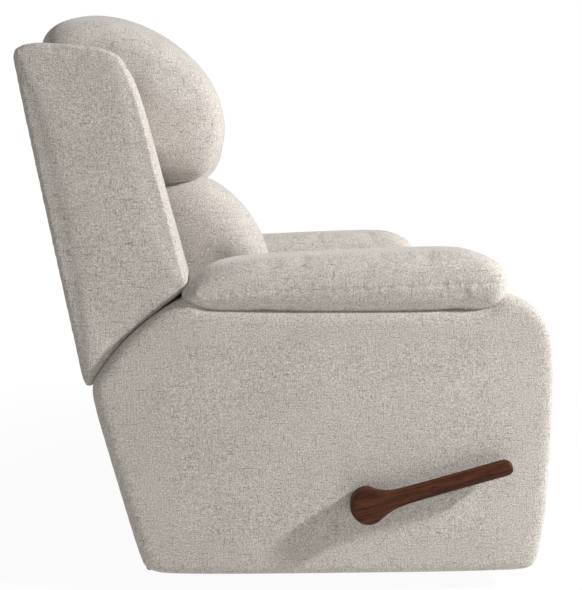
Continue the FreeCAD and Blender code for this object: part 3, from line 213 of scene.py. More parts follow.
def make_handle_wood():
    """Stained beech under satin lacquer, its grain along the lever."""
    material, tree, surface = finish_material("stained_beech_satin_lacquer", **{
        "Roughness": 0.45, "Coat Weight": 0.05, "Coat Roughness": 0.3, "Specular IOR Level": 0.12})
    place = add(tree, "ShaderNodeTexCoord").outputs["Object"]
    turned = add(tree, "ShaderNodeVectorRotate", {
        "Vector": place, "Axis": (0, 1, 0), "Angle": math.radians(handle_rise_deg)}).outputs[0]
    drawn = add(tree, "ShaderNodeVectorMath", {0: turned, 1: band_steps}, operation="MULTIPLY").outputs[0]
    grain = add(tree, "ShaderNodeTexNoise", {
        "Vector": drawn, "Scale": 1.0, "Detail": 4.0, "Distortion": 0.6}).outputs[0]
    drawn = add(tree, "ShaderNodeVectorMath", {0: turned, 1: pore_steps}, operation="MULTIPLY").outputs[0]
    pores = add(tree, "ShaderNodeTexNoise", {"Vector": drawn, "Scale": 1.0, "Detail": 2.0}).outputs[0]
    stain = ramp(tree, grain, [(0.3, "#2D150A"), (0.5, "#452413"), (0.7, "#5C331F")])
    dark = ramp(tree, pores, [(0.34, "#5F5048"), (0.46, "#FFFFFF")])
    colour = blend(tree, 0.7, stain, dark, "MULTIPLY")
    tree.links.new(colour, surface.inputs["Base Color"])
    emboss(tree, surface, pores, 0.12, 0.4)
    return material


handle_wood = make_handle_wood()
print("made", handle_wood.name)


# %% [markdown]
# ## Frame wood
# The frame inside is pine and plywood, planed and left bare, so it is pale, dull and plainly grained. It
# shows only from below and behind, so one wavy noise drawn out along the boards is enough.

# %% Make the frame's wood
board_steps = (9, 9, 120)


def make_frame_wood():
    """Planed softwood and plywood, unfinished."""
    material, tree, surface = finish_material("planed_softwood_frame", **{"Roughness": 0.7, "IOR": 1.45})
    place = add(tree, "ShaderNodeTexCoord").outputs["Object"]
    drawn = add(tree, "ShaderNodeVectorMath", {0: place, 1: board_steps}, operation="MULTIPLY").outputs[0]
    grain = add(tree, "ShaderNodeTexNoise", {
        "Vector": drawn, "Scale": 1.0, "Detail": 5.0, "Distortion": 1.2}).outputs[0]
    colour = ramp(tree, grain, [(0.3, "#A67C4E"), (0.55, "#C9A473"), (0.75, "#DDBE90")])
    tree.links.new(colour, surface.inputs["Base Color"])
    emboss(tree, surface, grain, 0.15, 0.6)
    return material


frame_wood = make_frame_wood()
print("made", frame_wood.name)


# %% [markdown]
# ## Paint, steel, rubber and nylon
# The other finishes are even coats, so one function makes them all from two near colours, the real size of
# their mottle or grit, and the depth of their relief. Brushed black paint on the base pools in marks some 6
# mm across. Powder coat on the links melts into a fine orange peel. Zinc plate and oiled spring steel are
# metals, which keep the default IOR and show cloudy patches. Moulded rubber is dull and close to black, and
# nylon is milky and a little waxy.

# %% Make the plain finishes
def make_plain_finish(name, low, high, scale_mm, bump_mm, **shader):
    """A coat whose colour and relief vary a little at one real size."""
    material, tree, surface = finish_material(name, **shader)
    place = add(tree, "ShaderNodeTexCoord").outputs["Object"]
    cloud = add(tree, "ShaderNodeTexNoise", {
        "Vector": place, "Scale": 1000 / scale_mm, "Detail": 4.0}).outputs[0]
    tree.links.new(ramp(tree, cloud, [(0.3, low), (0.7, high)]), surface.inputs["Base Color"])
    emboss(tree, surface, cloud, 0.3, bump_mm)
    return material


black_wood = make_plain_finish(
    "black_painted_hardwood", "#0E0D0C", "#1E1C1A", 6.0, 0.3, Roughness=0.45, IOR=1.5)
black_steel = make_plain_finish(
    "black_powder_coated_steel", "#141516", "#26282A", 1.5, 0.15, Roughness=0.5, IOR=1.5)
zinc_steel = make_plain_finish(
    "zinc_plated_steel", "#A9ACAE", "#C6C8C6", 9.0, 0.05, Roughness=0.34, Metallic=1.0)
spring_steel = make_plain_finish(
    "oiled_spring_steel", "#4A4A4C", "#6A6866", 7.0, 0.05, Roughness=0.38, Metallic=1.0)
rubber = make_plain_finish(
    "moulded_black_rubber", "#0B0B0B", "#1A1A19", 2.0, 0.2, Roughness=0.85, IOR=1.52)
nylon = make_plain_finish(
    "moulded_white_nylon", "#D8D4C8", "#E6E3DA", 4.0, 0.05, Roughness=0.45, IOR=1.53)
print("made", len(bpy.data.materials), "materials")


# %% [markdown]
# ## Camera
# The photograph was taken from the sitter's right, square to the chair's side and about two metres away.
# Lines that run across the chair meet above and left of the picture's middle, which the small turn and the
# lens shift give. The fit found a focal length of 854 pixels in a picture 590 pixels high, and Blender
# wants it in millimetres on a sensor 36 mm high.

# %% Place the camera
sensor_mm = 36
focal_px = 854
picture_px = 590
camera_data = bpy.data.cameras.new("side_camera")
camera_data.lens = sensor_mm * focal_px / picture_px
camera_data.shift_x = 0.09
camera_data.shift_y = -0.15
camera = bpy.data.objects.new("side_camera", camera_data)
scene.collection.objects.link(camera)
camera.location = (-0.225, -1.954, 0.716)
camera.rotation_euler = (math.radians(90 - 0.92), 0, math.radians(-1.55))
scene.camera = camera
print("camera lens", round(camera_data.lens, 1), "mm")


# %% [markdown]
# ## Light
# One lamp stands in front of the chair, above it and to its right, so the pillows' fronts are light, the
# side panel is a little darker, and the handle throws its shadow down and back. A broad weak lamp on the
# camera's side and the world fill the rest. The world is white only for rays that see it, straight or in a
# shine, and much weaker as light, so the background is white and the chair keeps its shading.

# %% Set the lamps and the world
scene.view_settings.view_transform = "Standard"


def lamp(name, place, aim, size, power):
    """A square area lamp that points at a place."""
    data = bpy.data.lights.new(name, "AREA")
    data.size = size
    data.energy = power
    made = bpy.data.objects.new(name, data)
    made.location = place
    made.rotation_euler = (Vector(aim) - Vector(place)).to_track_quat("-Z", "Y").to_euler()
    scene.collection.objects.link(made)
    return made


lamp("front_lamp", (3.3, -1.4, 2.4), (0, 0, 0.5), 0.28, 216)
lamp("side_fill", (-1.2, -3.6, 1.9), (0, 0, 0.5), 2.4, 5)

world = bpy.data.worlds.new("studio")
world.use_nodes = True
scene.world = world
world_tree = world.node_tree
world_tree.nodes.clear()


def seen_rays(tree):
    """1 for a ray that sees the surface, straight, in a shine or through glass, and 0 for one that lights."""
    ray = add(tree, "ShaderNodeLightPath").outputs
    seen = add(tree, "ShaderNodeMath", {0: ray["Is Camera Ray"], 1: ray["Is Glossy Ray"]}, operation="MAXIMUM")
    seen = add(tree, "ShaderNodeMath", {0: seen.outputs[0], 1: ray["Is Transmission Ray"]}, operation="MAXIMUM")
    return seen.outputs[0]


fill = add(world_tree, "ShaderNodeBackground", {"Color": linear("#FFFDFA"), "Strength": 0.28})
white = add(world_tree, "ShaderNodeBackground", {"Color": linear("#FFFFFF"), "Strength": 1.0})
sky = add(world_tree, "ShaderNodeMixShader", {
    0: seen_rays(world_tree), 1: fill.outputs[0], 2: white.outputs[0]})
add(world_tree, "ShaderNodeOutputWorld", {"Surface": sky.outputs[0]})
print("lamps and world set")


# %% [markdown]
# ## Floor
# The floor is a plain pale sheet. A matt floor alone would show where it ends, so it is mixed with white
# for the rays that see it: nearly all white beside the chair, where its faint shadow stays, and all white
# further off.

# %% Make the floor
near_m = 0.7
far_m = 1.7
near_white = 0.95


def make_floor():
    """Plain pale floor, lifted toward white where it is seen, wholly so away from the chair's shadow."""
    material = bpy.data.materials.new("pale_studio_floor")
    material.use_nodes = True
    tree = material.node_tree
    tree.nodes.clear()
    place = add(tree, "ShaderNodeTexCoord").outputs["Object"]
    reach = add(tree, "ShaderNodeVectorMath", {0: place}, operation="LENGTH").outputs["Value"]
    paler = add(tree, "ShaderNodeMapRange", {0: reach, 1: near_m, 2: far_m, 3: near_white, 4: 1.0}).outputs[0]
    lifted = add(tree, "ShaderNodeMath", {0: seen_rays(tree), 1: paler}, operation="MULTIPLY")
    matt = add(tree, "ShaderNodeBsdfDiffuse", {"Color": linear("#F4F3F1")})
    pale = add(tree, "ShaderNodeEmission", {"Color": linear("#FFFFFF"), "Strength": 1.0})
    mixed = add(tree, "ShaderNodeMixShader", {0: lifted.outputs[0], 1: matt.outputs[0], 2: pale.outputs[0]})
    add(tree, "ShaderNodeOutputMaterial", {"Surface": mixed.outputs[0]})
    half = 9.0
    corners = [(-half, -half, 0), (half, -half, 0), (half, half, 0), (-half, half, 0)]
    mesh = bpy.data.meshes.new("studio_floor")
    mesh.from_pydata(corners, [], [(0, 1, 2, 3)])
    mesh.materials.append(material)
    floor = bpy.data.objects.new("studio_floor", mesh)
    scene.collection.objects.link(floor)


make_floor()
print("floor set")


# %% [markdown]
# ## How a cushion is made here
# A cushion could be sculpted by hand, or cut as flat panels and sewn in a simulation. Here it starts as its
# side outline, taken round the corners by cutting them again and again, and is swept across its width while
# its edges roll in, because the photograph gives that outline exactly. The closed form is remeshed into
# even squares, and Blender's Cloth then blows it up under a little pressure, as fibre fill swells a sewn
# cover. How far a point may move is capped, so the size stays right. Seams are pressed in last, because the
# remesh would wipe them out.

# %% Draw an outline
def rounded(corners, spacing_mm=12.0, cuts=3):
    """Closed outline through soft corners: corner cutting, then even steps. Corners are (x, z) in mm."""
    points = [Vector(corner) for corner in corners]
    for _ in range(cuts):
        softer = []
        for here, after in zip(points, points[1:] + points[:1]):
            softer.append(here.lerp(after, 0.25))
            softer.append(here.lerp(after, 0.75))
        points = softer
    lengths = [(after - here).length for here, after in zip(points, points[1:] + points[:1])]
    fewest = 24
    count = max(fewest, round(sum(lengths) / spacing_mm))
    step = sum(lengths) / count
    even, travelled, index = [], 0.0, 0
    for number in range(count):
        target = number * step
        while travelled + lengths[index] < target:
            travelled += lengths[index]
            index += 1
        share = (target - travelled) / lengths[index]
        even.append(points[index].lerp(points[(index + 1) % len(points)], share))
    return even


def drawn_in(outline, depth):
    """The outline moved inwards by depth, in mm."""
    area = sum(a.x * b.y - b.x * a.y for a, b in zip(outline, outline[1:] + outline[:1]))
    sign = 1 if area > 0 else -1
    moved = []
    for index, here in enumerate(outline):
        along = outline[(index + 1) % len(outline)] - outline[index - 1]
        inward = Vector((-along.y, along.x)).normalized() * sign
        moved.append(here + inward * depth)
    return moved


def ring(outline, depth, y):
    """Mesh points, in metres, of the outline drawn in by depth at y."""
    return [Vector((point.x, y, point.y)) / 1000 for point in drawn_in(outline, depth)]


print("outline helpers ready")


# %% Make a mesh object
def new_piece(name, points, faces, material):
    """A mesh object with one material."""
    mesh = bpy.data.meshes.new(name)
    mesh.from_pydata(points, [], faces)
    mesh.validate()
    mesh.materials.append(material)
    piece = bpy.data.objects.new(name, mesh)
    scene.collection.objects.link(piece)
    return piece


def turn_outward(piece):
    """Points the faces outward."""
    work = bmesh.new()
    work.from_mesh(piece.data)
    bmesh.ops.recalc_face_normals(work, faces=work.faces)
    work.to_mesh(piece.data)
    work.free()


print("mesh helpers ready")


# %% [markdown]
# ## Sweep the outline
# The outline becomes a stack of rings across the chair. At both edges a quarter circle of rings rolls it
# in, and two smaller rings close each end, raised a little if the end has a crown. A waist function can
# draw the middle or the ends in. Each ring has as many points as the next, so quads join them.

# %% Sweep a closed form
roll_steps = 6
band_count = 8
end_rings = (0.35, 0.7)


def rolled_form(name, outline, y_low, y_high, edge, depth, crown=0.0, waist=None):
    """A closed form: the outline across y_low to y_high, rolling in by depth over edge at both sides.
    waist(share) gives how far the outline draws in across the width, for a share from -1 to 1."""
    rings = []
    quarters = [step * math.pi / 2 / roll_steps for step in range(roll_steps + 1)]
    side_steps = [(edge * (1 - math.cos(turn)), depth * (1 - math.sin(turn))) for turn in quarters]
    flat = y_high - y_low - 2 * edge
    for cap in end_rings:
        rings.append((y_low - crown * (1 - cap * cap), depth, cap))
    rings += [(y_low + step, inset, 1.0) for step, inset in side_steps]
    rings += [(y_low + edge + flat * share / band_count, 0.0, 1.0) for share in range(1, band_count)]
    rings += [(y_high - step, inset, 1.0) for step, inset in reversed(side_steps)]
    for cap in reversed(end_rings):
        rings.append((y_high + crown * (1 - cap * cap), depth, cap))
    centre = sum(outline, Vector((0, 0))) / len(outline)
    points = []
    for y, inset, share in rings:
        across = (2 * y - y_low - y_high) / (y_high - y_low)
        extra = waist(across) if waist else 0.0
        line = drawn_in(outline, inset + extra)
        points += [Vector((p.x, y, p.y)) / 1000 for p in (centre.lerp(q, share) for q in line)]
    count = len(outline)
    faces = []
    for level in range(len(rings) - 1):
        for index in range(count):
            after = (index + 1) % count
            low = level * count
            faces.append((low + index, low + after, low + count + after, low + count + index))
    faces.append(tuple(range(count)))
    faces.append(tuple(range(len(points) - count, len(points))))
    piece = new_piece(name, points, faces, tweed)
    turn_outward(piece)
    return piece


print("form helper ready")


# %% Remesh and smooth
def baked(piece):
    """Applies the piece's modifiers to its mesh."""
    graph = bpy.context.evaluated_depsgraph_get()
    mesh = bpy.data.meshes.new_from_object(piece.evaluated_get(graph))
    piece.modifiers.clear()
    piece.data = mesh
    if not mesh.materials:
        mesh.materials.append(tweed)


def even_mesh(piece, voxel_mm):
    """Remeshes the form into even squares."""
    remesh = piece.modifiers.new("even", "REMESH")
    remesh.mode = "VOXEL"
    remesh.voxel_size = voxel_mm / 1000
    baked(piece)


def soften(piece, rounds, factor=0.5):
    """Evens out the surface."""
    smooth = piece.modifiers.new("soft", "SMOOTH")
    smooth.factor = factor
    smooth.iterations = rounds
    baked(piece)


def finer(piece):
    """One round of subdivision, smooth shaded."""
    surface = piece.modifiers.new("finer", "SUBSURF")
    surface.levels = 1
    surface.render_levels = 1
    baked(piece)
    piece.data.shade_smooth()


print("mesh tools ready")


# %% Swell a cover
cloth_frames = 20
fill_pressure = 4.0
cover_tension = 18
cover_bending = 0.6


def swell(piece, cap_mm, held=None):
    """Blows the cover up with Cloth under pressure, and caps how far each point may move."""
    start = [vertex.co.copy() for vertex in piece.data.vertices]
    cloth = piece.modifiers.new("swell", "CLOTH")
    cloth.settings.use_pressure = True
    cloth.settings.uniform_pressure_force = fill_pressure
    cloth.settings.effector_weights.gravity = 0
    cloth.settings.tension_stiffness = cover_tension
    cloth.settings.bending_stiffness = cover_bending
    cloth.point_cache.frame_start = 1
    cloth.point_cache.frame_end = cloth_frames
    for number in range(1, cloth_frames + 1):
        scene.frame_set(number)
    baked(piece)
    scene.frame_set(1)
    cap = cap_mm / 1000
    most = 0.0
    for vertex, before in zip(piece.data.vertices, start):
        moved = vertex.co - before
        if moved.length > cap:
            moved *= cap / moved.length
        if held:
            moved *= held(before)
        vertex.co = before + moved
        most = max(most, moved.length)
    print(piece.name, len(start), "points, swollen by up to", round(most * 1000, 1), "mm")


print("cloth runs for", cloth_frames, "frames")


# %% [markdown]
# ## Seams
# A sewn seam pulls the cover down in a narrow groove, and the thread gathers the cloth into small puckers
# on both sides. The groove is pressed along a line of points that lies on the piece: each mesh point near
# the line moves in along its own normal, the less the further off it is, and two slow waves along the line
# make the puckers uneven.

# %% Press seams
seam_reach = 4.0
pucker_spread = 2.4


def press_seam(piece, path, depth_mm, width_mm, pucker_mm=0.0):
    """Presses a seam into the surface along points, with small puckers across it."""
    tree = KDTree(len(path))
    for index, point in enumerate(path):
        tree.insert(point, index)
    tree.balance()
    width = width_mm / 1000
    normals = [vertex.normal.copy() for vertex in piece.data.vertices]
    for vertex, normal in zip(piece.data.vertices, normals):
        _, index, distance = tree.find(vertex.co)
        if distance > width * seam_reach:
            continue
        press = depth_mm / 1000 * math.exp(-(distance / width) ** 2)
        wave = math.sin(index * 0.9) * math.sin(index * 0.37 + 1.0)
        pucker = pucker_mm / 1000 * wave * math.exp(-(distance / width / pucker_spread) ** 2)
        vertex.co -= normal * (press - pucker)


def dense(points, step_mm=4.0):
    """Even points along a polyline, in metres."""
    line = []
    for here, after in zip(points, points[1:]):
        count = max(1, round((after - here).length * 1000 / step_mm))
        line += [here.lerp(after, share / count) for share in range(count)]
    return line + [points[-1]]


def on_surface(piece, path):
    """The path's points laid on the piece."""
    surface = BVHTree.FromObject(piece, bpy.context.evaluated_depsgraph_get())
    return [surface.find_nearest(point)[0] for point in path]


def rim_seam(piece, outline, inset_mm, y_mm, depth_mm=1.6, width_mm=3.2, pucker_mm=0.5):
    """A sewn seam all round the outline, on the piece's rolled edge at y."""
    line = ring(outline, inset_mm, y_mm)
    press_seam(piece, on_surface(piece, dense(line + line[:1])), depth_mm, width_mm, pucker_mm)


print("seam tools ready")


# %% [markdown]
# ## Say what a soft piece is
# Each soft piece rides on a body of the chair and stands for a plain solid of the CAD model, which is
# hidden. Those two go together, so one function does both.

# %% Declare soft pieces
def declare(piece, body, node):
    """Hangs a padded piece on the body it rides on, and hides the CAD solid it stands for, if any."""
    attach(piece, body)
    if node:
        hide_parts(node)


def mirrored(piece, name):
    """The same piece on the chair's other side."""
    mesh = piece.data.copy()
    mesh.transform(Matrix.Scale(-1, 4, (0, 1, 0)))
    mesh.flip_normals()
    copy = bpy.data.objects.new(name, mesh)
    scene.collection.objects.link(copy)
    return copy


print("ready to make the soft pieces")


# %% [markdown]
# ## The two back pillows
# The headrest and the lumbar pillow are sewn bags of fibre, one above the other, and the headrest hangs
# over the top of the back. From the side each is a full round, and across the chair it is nearly straight,
# with its ends rolled in. Less filling reaches the corners, so the top drops and the rear draws in toward
# both ends. The two outlines follow the photograph.

# %% Draw the back's line and the pillows
back_foot = (-455, 366)
back_head = (-588, 988)


def back_line_x(z):
    """Where the rear face of the back stands at a height."""
    share = (z - back_foot[1]) / (back_head[1] - back_foot[1])
    return back_foot[0] + share * (back_head[0] - back_foot[0])


headrest_outline = rounded([
    (-446, 742), (-330, 734), (-252, 738), (-218, 778), (-205, 830), (-205, 868), (-217, 922), (-242, 974),
    (-279, 1017), (-330, 1059), (-390, 1090), (-450, 1107), (-520, 1110), (-570, 1090), (-584, 1052),
    (-582, 1004),
    (-570, 987), (-510, 987), (-496, 960), (-472, 850)])
lumbar_outline = rounded([
    (-436, 750), (-330, 756), (-248, 752), (-206, 727), (-166, 690), (-138, 650), (-118, 608), (-102, 566),
    (-112, 530), (-160, 512), (-212, 498), (-232, 440), (-262, 412), (-330, 404), (-370, 402), (-380, 430),
    (-400, 580)])
print("headrest", len(headrest_outline), "points, lumbar", len(lumbar_outline))


# %% Slacken a pillow's corners
rear_from_mm = -420
rear_over_mm = 120
back_deep_mm = 84
held_over_mm = 50


def clamped(value):
    """The value held between 0 and 1."""
    return min(1.0, max(0.0, value))


def slack_corners(pillow, low_mm, drop, half_width, rear_in_mm):
    """Lowers the pillow and draws its rear in toward its ends, where less filling reaches."""
    for vertex in pillow.data.vertices:
        height = vertex.co.z * 1000 - low_mm
        across = abs(vertex.co.y) * 1000 / half_width
        if height > 0:
            vertex.co.z -= height * drop * across ** 1.6 / 1000
            rear = clamped((rear_from_mm - vertex.co.x * 1000) / rear_over_mm)
            vertex.co.x += rear_in_mm * rear * across ** 2 / 1000


def rest_on_back(place):
    """Points that lie against the back's frame stay put."""
    room = place.x * 1000 - back_line_x(place.z * 1000) - back_deep_mm
    return clamped(room / held_over_mm)


print("pillow tools ready")


# %% Make the pillows
def make_pillow(name, outline, half_width, cap_mm, low_mm, drop, rear_in_mm):
    """One back pillow, rolled in at both ends."""
    end_roll, end_depth = 54, 34
    pillow = rolled_form(name, outline, -half_width, half_width, end_roll, end_depth, crown=6)
    slack_corners(pillow, low_mm, drop, half_width, rear_in_mm)
    even_mesh(pillow, 7)
    soften(pillow, 8)
    swell(pillow, cap_mm, held=rest_on_back)
    soften(pillow, 18)
    finer(pillow)
    return pillow


headrest = make_pillow("headrest_cushion", headrest_outline, 282, 5, 740, 0.18, 14)
lumbar = make_pillow("lumbar_cushion", lumbar_outline, 252, 5, 480, 0.04, 0)
declare(headrest, "back", "headrest_pillow")
declare(lumbar, "back", "lumbar_pillow")
print("pillows", len(headrest.data.vertices), len(lumbar.data.vertices))


# %% [markdown]
# ## The wings
# Each side of the back is a board padded with foam and pulled tight under the cover, so it is flat with
# tight edges and a seam round its outer face. Its lower edge follows the slope of the arm, and its front
# face slants back toward the pillows, the more the higher it is. The right wing is made and mirrored for
# the left.

# %% Draw the wing
wing_outline = rounded([
    (-586, 958), (-582, 973), (-560, 983), (-531, 985), (-470, 981), (-412, 974), (-386, 956), (-362, 900),
    (-342, 828), (-310, 701), (-292, 635), (-277, 575), (-269, 552), (-274, 544), (-330, 500), (-387, 454),
    (-434, 384), (-448, 364), (-459, 370), (-474, 436), (-524, 665)], cuts=2)
wing_outer_y = -435
wing_inner_y = -291


def slant_front(wing):
    """Draws the wing's front face back toward its inner side."""
    for point in wing.data.vertices:
        place = point.co
        front = -0.386 + (0.958 - place.z) * 0.288
        share = clamped((place.x - front + 0.08) / 0.06)
        place.x -= share * (place.y - wing_outer_y / 1000) * 0.36 * (-0.225 - front)


print("wing outline", len(wing_outline), "points")


# %% Make the wings
wing_right = rolled_form("wing_panel_right", wing_outline, wing_outer_y, wing_inner_y, 6, 5, crown=1)
slant_front(wing_right)
even_mesh(wing_right, 5)
soften(wing_right, 2)
swell(wing_right, 2)
finer(wing_right)
rim_seam(wing_right, wing_outline, 3, wing_outer_y + 2)
wing_left = mirrored(wing_right, "wing_panel_left")
declare(wing_right, "back", "back_wing_right")
declare(wing_left, "back", "back_wing_left")
print("wings", len(wing_right.data.vertices), "points each")


# %% [markdown]
# ## The arm covers
# An arm is a box frame with foam over it, covered in one side panel whose front rolls over. Its back slopes
# down under the wing, and a low ridge of its cover closes the corner between the wing and the pad. It is
# hollow underneath, where it goes over the rail of the base, so that notch is cut out before the remesh.
# The cover is pulled tight over a board here, so it needs no swelling.

# %% Draw the arm cover
arm_outline = rounded([
    (-440, 386), (-447, 362), (-404, 215), (-357, 58), (-343, 38), (-250, 34), (-125, 33), (88, 33),
    (194, 33),
    (306, 35), (346, 38), (358, 57), (366, 100), (374, 160), (379, 235), (383, 310), (385, 360), (385, 405),
    (382, 447), (373, 484), (353, 509), (327, 528), (299, 537), (282, 536), (270, 518), (240, 507),
    (-240, 507), (-256, 524), (-276, 533), (-306, 517), (-342, 493), (-391, 450), (-429, 399)], cuts=2)


def cut_box(piece, low, high):
    """Cuts a box out of the piece, with corners in mm."""
    corners = itertools.product(*zip(low, high))
    points = [Vector(corner) / 1000 for corner in corners]
    faces = [(0, 1, 3, 2), (4, 6, 7, 5), (0, 4, 5, 1), (2, 3, 7, 6), (0, 2, 6, 4), (1, 5, 7, 3)]
    tool = new_piece("cutting_box", points, faces, tweed)
    turn_outward(tool)
    cut = piece.modifiers.new("notch", "BOOLEAN")
    cut.operation = "DIFFERENCE"
    cut.object = tool
    baked(piece)
    bpy.data.objects.remove(tool)


print("arm outline", len(arm_outline), "points")


# %% Make the arm covers
rail_room_low = (-500, -348, 0)
rail_room_high = (500, -200, 116)
arm_right = rolled_form("arm_panel_right", arm_outline, -453, -277, 20, 15, crown=3)
cut_box(arm_right, rail_room_low, rail_room_high)
even_mesh(arm_right, 8)
soften(arm_right, 3)
finer(arm_right)
arm_left = mirrored(arm_right, "arm_panel_left")
declare(arm_right, "chair_frame", "arm_cover_right")
declare(arm_left, "chair_frame", "arm_cover_left")
print("arm covers", len(arm_right.data.vertices), "points each")


# %% [markdown]
# ## The arm pads
# On each arm lies a long pillow of its own that overhangs the panel. Its ends taper, it is fullest in the
# middle, and a seam joins its upper and lower covers all round. The seam's line is drawn a little
# above the widest place and then laid on the swollen surface.

# %% Draw the arm pad
pad_outline = rounded([
    (-296, 532), (-282, 556), (-242, 578), (-188, 592), (-128, 597), (0, 603), (133, 608), (235, 610),
    (270, 603),
    (296, 590), (311, 568), (312, 544), (303, 520), (282, 503), (240, 497), (-200, 498), (-264, 505),
    (-290, 516)])


outer_seam = [
    (-286, -380, 532), (-262, -440, 531), (-218, -465, 534), (-162, -466, 543), (-14, -466, 543),
    (135, -466, 551), (262, -464, 556), (290, -440, 556), (302, -380, 554), (302, -340, 554),
    (290, -290, 556), (262, -266, 556), (135, -264, 551), (-14, -264, 543), (-200, -266, 536)]


def pad_ends(share):
    """The pad is fullest over the arm's middle."""
    return 5 * share * share


print("pad outline", len(pad_outline), "points")


# %% Make the arm pads
pad_right = rolled_form("arm_pad_pillow_right", pad_outline, -464, -266, 44, 30, crown=4, waist=pad_ends)
even_mesh(pad_right, 6)
soften(pad_right, 5)
swell(pad_right, 5)
finer(pad_right)
seam_path = dense([Vector(point) / 1000 for point in outer_seam])
press_seam(pad_right, on_surface(pad_right, seam_path), 1.6, 3.4, 0.5)
pad_left = mirrored(pad_right, "arm_pad_pillow_left")
declare(pad_right, "chair_frame", "arm_pad_right")
declare(pad_left, "chair_frame", "arm_pad_left")
print("arm pads", len(pad_right.data.vertices), "points each")


# %% [markdown]
# ## Seat and leg rest
# The seat cushion is a foam block in a boxed cover: a crowned top panel, a band round its edge and a front
# that rolls down over the seat frame. A flap behind it reaches under the back pillow, so that nothing shows
# between them when the back goes down. The leg rest is a board, padded all round, that closes the front
# below the seat.

# %% Draw the seat and the leg rest
seat_outline = rounded([
    (-216, 382), (-225, 374), (-328, 372), (-341, 382), (-328, 393), (-240, 395), (-216, 399), (-213, 430),
    (-212, 450), (-214, 476), (-204, 487), (-150, 496), (60, 505), (270, 507), (318, 500), (340, 478),
    (345, 430),
    (344, 344), (334, 322), (300, 322), (291, 326), (291, 368), (280, 374), (100, 374), (-100, 374),
    (-190, 374)],
    cuts=2, spacing_mm=9)
footrest_outline = rounded([
    (314, 71), (312, 90), (312, 300), (314, 318), (344, 319), (360, 309), (366, 280), (366, 116), (360, 86),
    (344, 71)], cuts=2)
print("seat outline", len(seat_outline), "points, leg rest", len(footrest_outline))


# %% Make the seat and the leg rest
flap_width_share = 0.9


def make_boxed(name, outline, half_width, body, node, edge, depth, narrow_behind=None):
    """A boxed cushion across the middle of the chair, narrower behind one x in mm if that is given."""
    cushion = rolled_form(name, outline, -half_width, half_width, edge, depth, crown=2)
    for vertex in cushion.data.vertices:
        if narrow_behind and vertex.co.x * 1000 < narrow_behind:
            vertex.co.y *= flap_width_share
    even_mesh(cushion, 6)
    soften(cushion, 3)
    finer(cushion)
    for side in (-1, 1):
        rim_seam(cushion, outline, depth * 0.3, side * (half_width - edge * 0.3))
    declare(cushion, body, node)
    return cushion


seat = make_boxed("seat_box_cushion", seat_outline, 256, "seat", "seat_cushion", 18, 12, -222)
legrest = make_boxed("leg_rest_cushion", footrest_outline, 257, "footrest", "footrest_cushion", 16, 10)
print("seat", len(seat.data.vertices), "leg rest", len(legrest.data.vertices))


# %% [markdown]
# ## The back's rear cover and linings
# The rear of the back is one flat panel over a thin layer of foam, sewn in round its edge, and it reaches
# over the top and bottom rails. Where the pillows and the seat leave bare wood in sight, a real back has
# more cover: a lining between the wings and over the top, and an apron on the lower rail, which shows
# behind the seat when the chair is open. They are thin and flat, so their outlines are swept without a
# remesh.

# %% Make the back's rear cover
rear_outline = rounded([
    (back_line_x(344) + 2, 344), (back_line_x(700), 700), (back_line_x(985) - 2, 992), (back_line_x(985) + 19, 992),
    (back_line_x(700) + 18, 700), (back_line_x(344) + 18, 344)], cuts=2)
rear_half_width = 290.5
rear_cover = make_boxed("back_rear_cover", rear_outline, rear_half_width, "back", "back_cover", 4, 3)
print("rear cover", len(rear_cover.data.vertices))


# %% Line the back between the wings and over its top
lining_outline = rounded([
    (back_line_x(456) + 82, 456), (back_line_x(700) + 82, 700), (back_line_x(984) + 82, 985.5),
    (back_line_x(984) + 4, 985.5), (back_line_x(984) + 4, 992), (back_line_x(984) + 60, 993),
    (back_line_x(984) + 88, 989), (back_line_x(700) + 88, 700), (back_line_x(456) + 88, 456)], cuts=1, spacing_mm=8)
lining = rolled_form("back_lining_panel", lining_outline, -rear_half_width, rear_half_width, 4, 3)
declare(lining, "back", None)
print("lining", len(lining.data.vertices))


# %% Cover the back's lower rail
apron_outline = rounded([
    (-371, 343), (-371, 412), (-365, 414), (-363, 380), (-365, 343)], cuts=1, spacing_mm=8)
apron = rolled_form("back_apron_panel", apron_outline, -256, 256, 2, 1)
declare(apron, "back", None)
print("apron", len(apron.data.vertices))


# %% [markdown]
# ## Finishes of the CAD pieces
# The base, frame, springs and linkage have their right shape already, so they keep it, and each gets the
# finish of what it is made of. The record names a material slot for each piece, and a table turns slots
# into finishes.

# %% Assign finishes
finishes = {
    "black_wood": black_wood, "rubber": rubber, "spring_steel": spring_steel, "zinc_steel": zinc_steel,
    "frame_wood": frame_wood, "painted_steel": black_steel, "nylon": nylon, "handle_wood": handle_wood,
    "upholstery": tweed,
}
slot_of = {part["node"]: part["material_slot"] for part in frame["record"]["subparts"]}
for name, piece in nodes.items():
    for place in piece.material_slots:
        place.material = finishes[slot_of[name]]
print("finished", len(nodes), "CAD pieces")


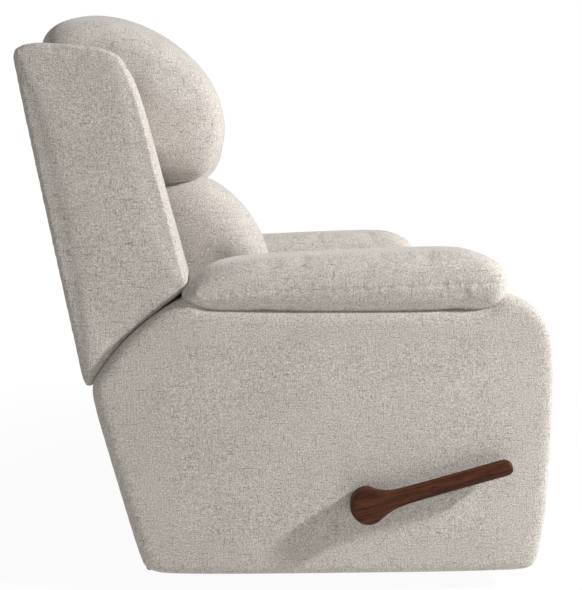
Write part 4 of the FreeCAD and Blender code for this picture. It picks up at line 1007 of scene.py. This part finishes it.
# %% [markdown]
# ## The handle
# A real one is a single piece of beech, shaped like a spoon: a round boss whose face runs into the lever
# without a step, and a barrel behind it that reaches the panel, on the mechanism's shaft. It could be
# turned as two revolved forms, but the soft flare between them is easier to draw. The spoon and the barrel
# are two swept forms, the remesh makes them one piece of wood, and smoothing eases the edges as sanding
# does.

# %% Draw the handle
shaft_place = Vector((42, 170))
boss_radius = 31.5
barrel_radius = 29


def along_lever(points):
    """Points along and across the lever, from the boss's centre in mm, set at the lever's rise."""
    turn = Matrix.Rotation(math.radians(handle_rise_deg), 2)
    return [shaft_place + turn @ Vector(point) for point in points]


def arc(radius, from_deg, to_deg, steps):
    """Points on a circle round the boss's centre."""
    turns = [math.radians(from_deg + (to_deg - from_deg) * step / steps) for step in range(steps + 1)]
    return [(radius * math.cos(turn), radius * math.sin(turn)) for turn in turns]


def joined(first, second):
    """Adds the second piece's mesh to the first, and leaves the first."""
    work = bmesh.new()
    work.from_mesh(first.data)
    work.from_mesh(second.data)
    work.to_mesh(first.data)
    work.free()
    bpy.data.objects.remove(second)
    return first


spoon_outline = along_lever(arc(boss_radius, 62, 305, 26) + [
    (28, -21.5), (38, -18), (50, -15.4), (68, -13.8), (100, -13.2), (170, -13), (247, -13.2), (253, -12.6),
    (258, -10.5), (261, -6.5), (262, 0), (261, 6.5), (258, 10.5), (253, 12.6), (247, 13.2), (170, 13),
    (100, 13.2), (68, 13.4), (50, 14.4), (38, 17), (28, 21)])
barrel_outline = along_lever(arc(barrel_radius, 0, 345, 23))
print("handle outline", len(spoon_outline), "points")


# %% Make the handle
handle = rolled_form("handle_turned_wood", spoon_outline, -491.5, -470, 7, 6, crown=0.8)
barrel = rolled_form("handle_barrel", barrel_outline, -482, -458, 3, 2)
handle = joined(handle, barrel)
even_mesh(handle, 2)
soften(handle, 3)
handle.data.materials.clear()
handle.data.materials.append(handle_wood)
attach(handle, "handle")
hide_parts("wooden_handle")
print("handle", len(handle.data.vertices))


# %% [markdown]
# ## Bring the scene up to date
# The view layer is updated last. Fabric may stand a little proud of the CAD model and no more.

# %% Update the view layer
bpy.context.view_layer.update()
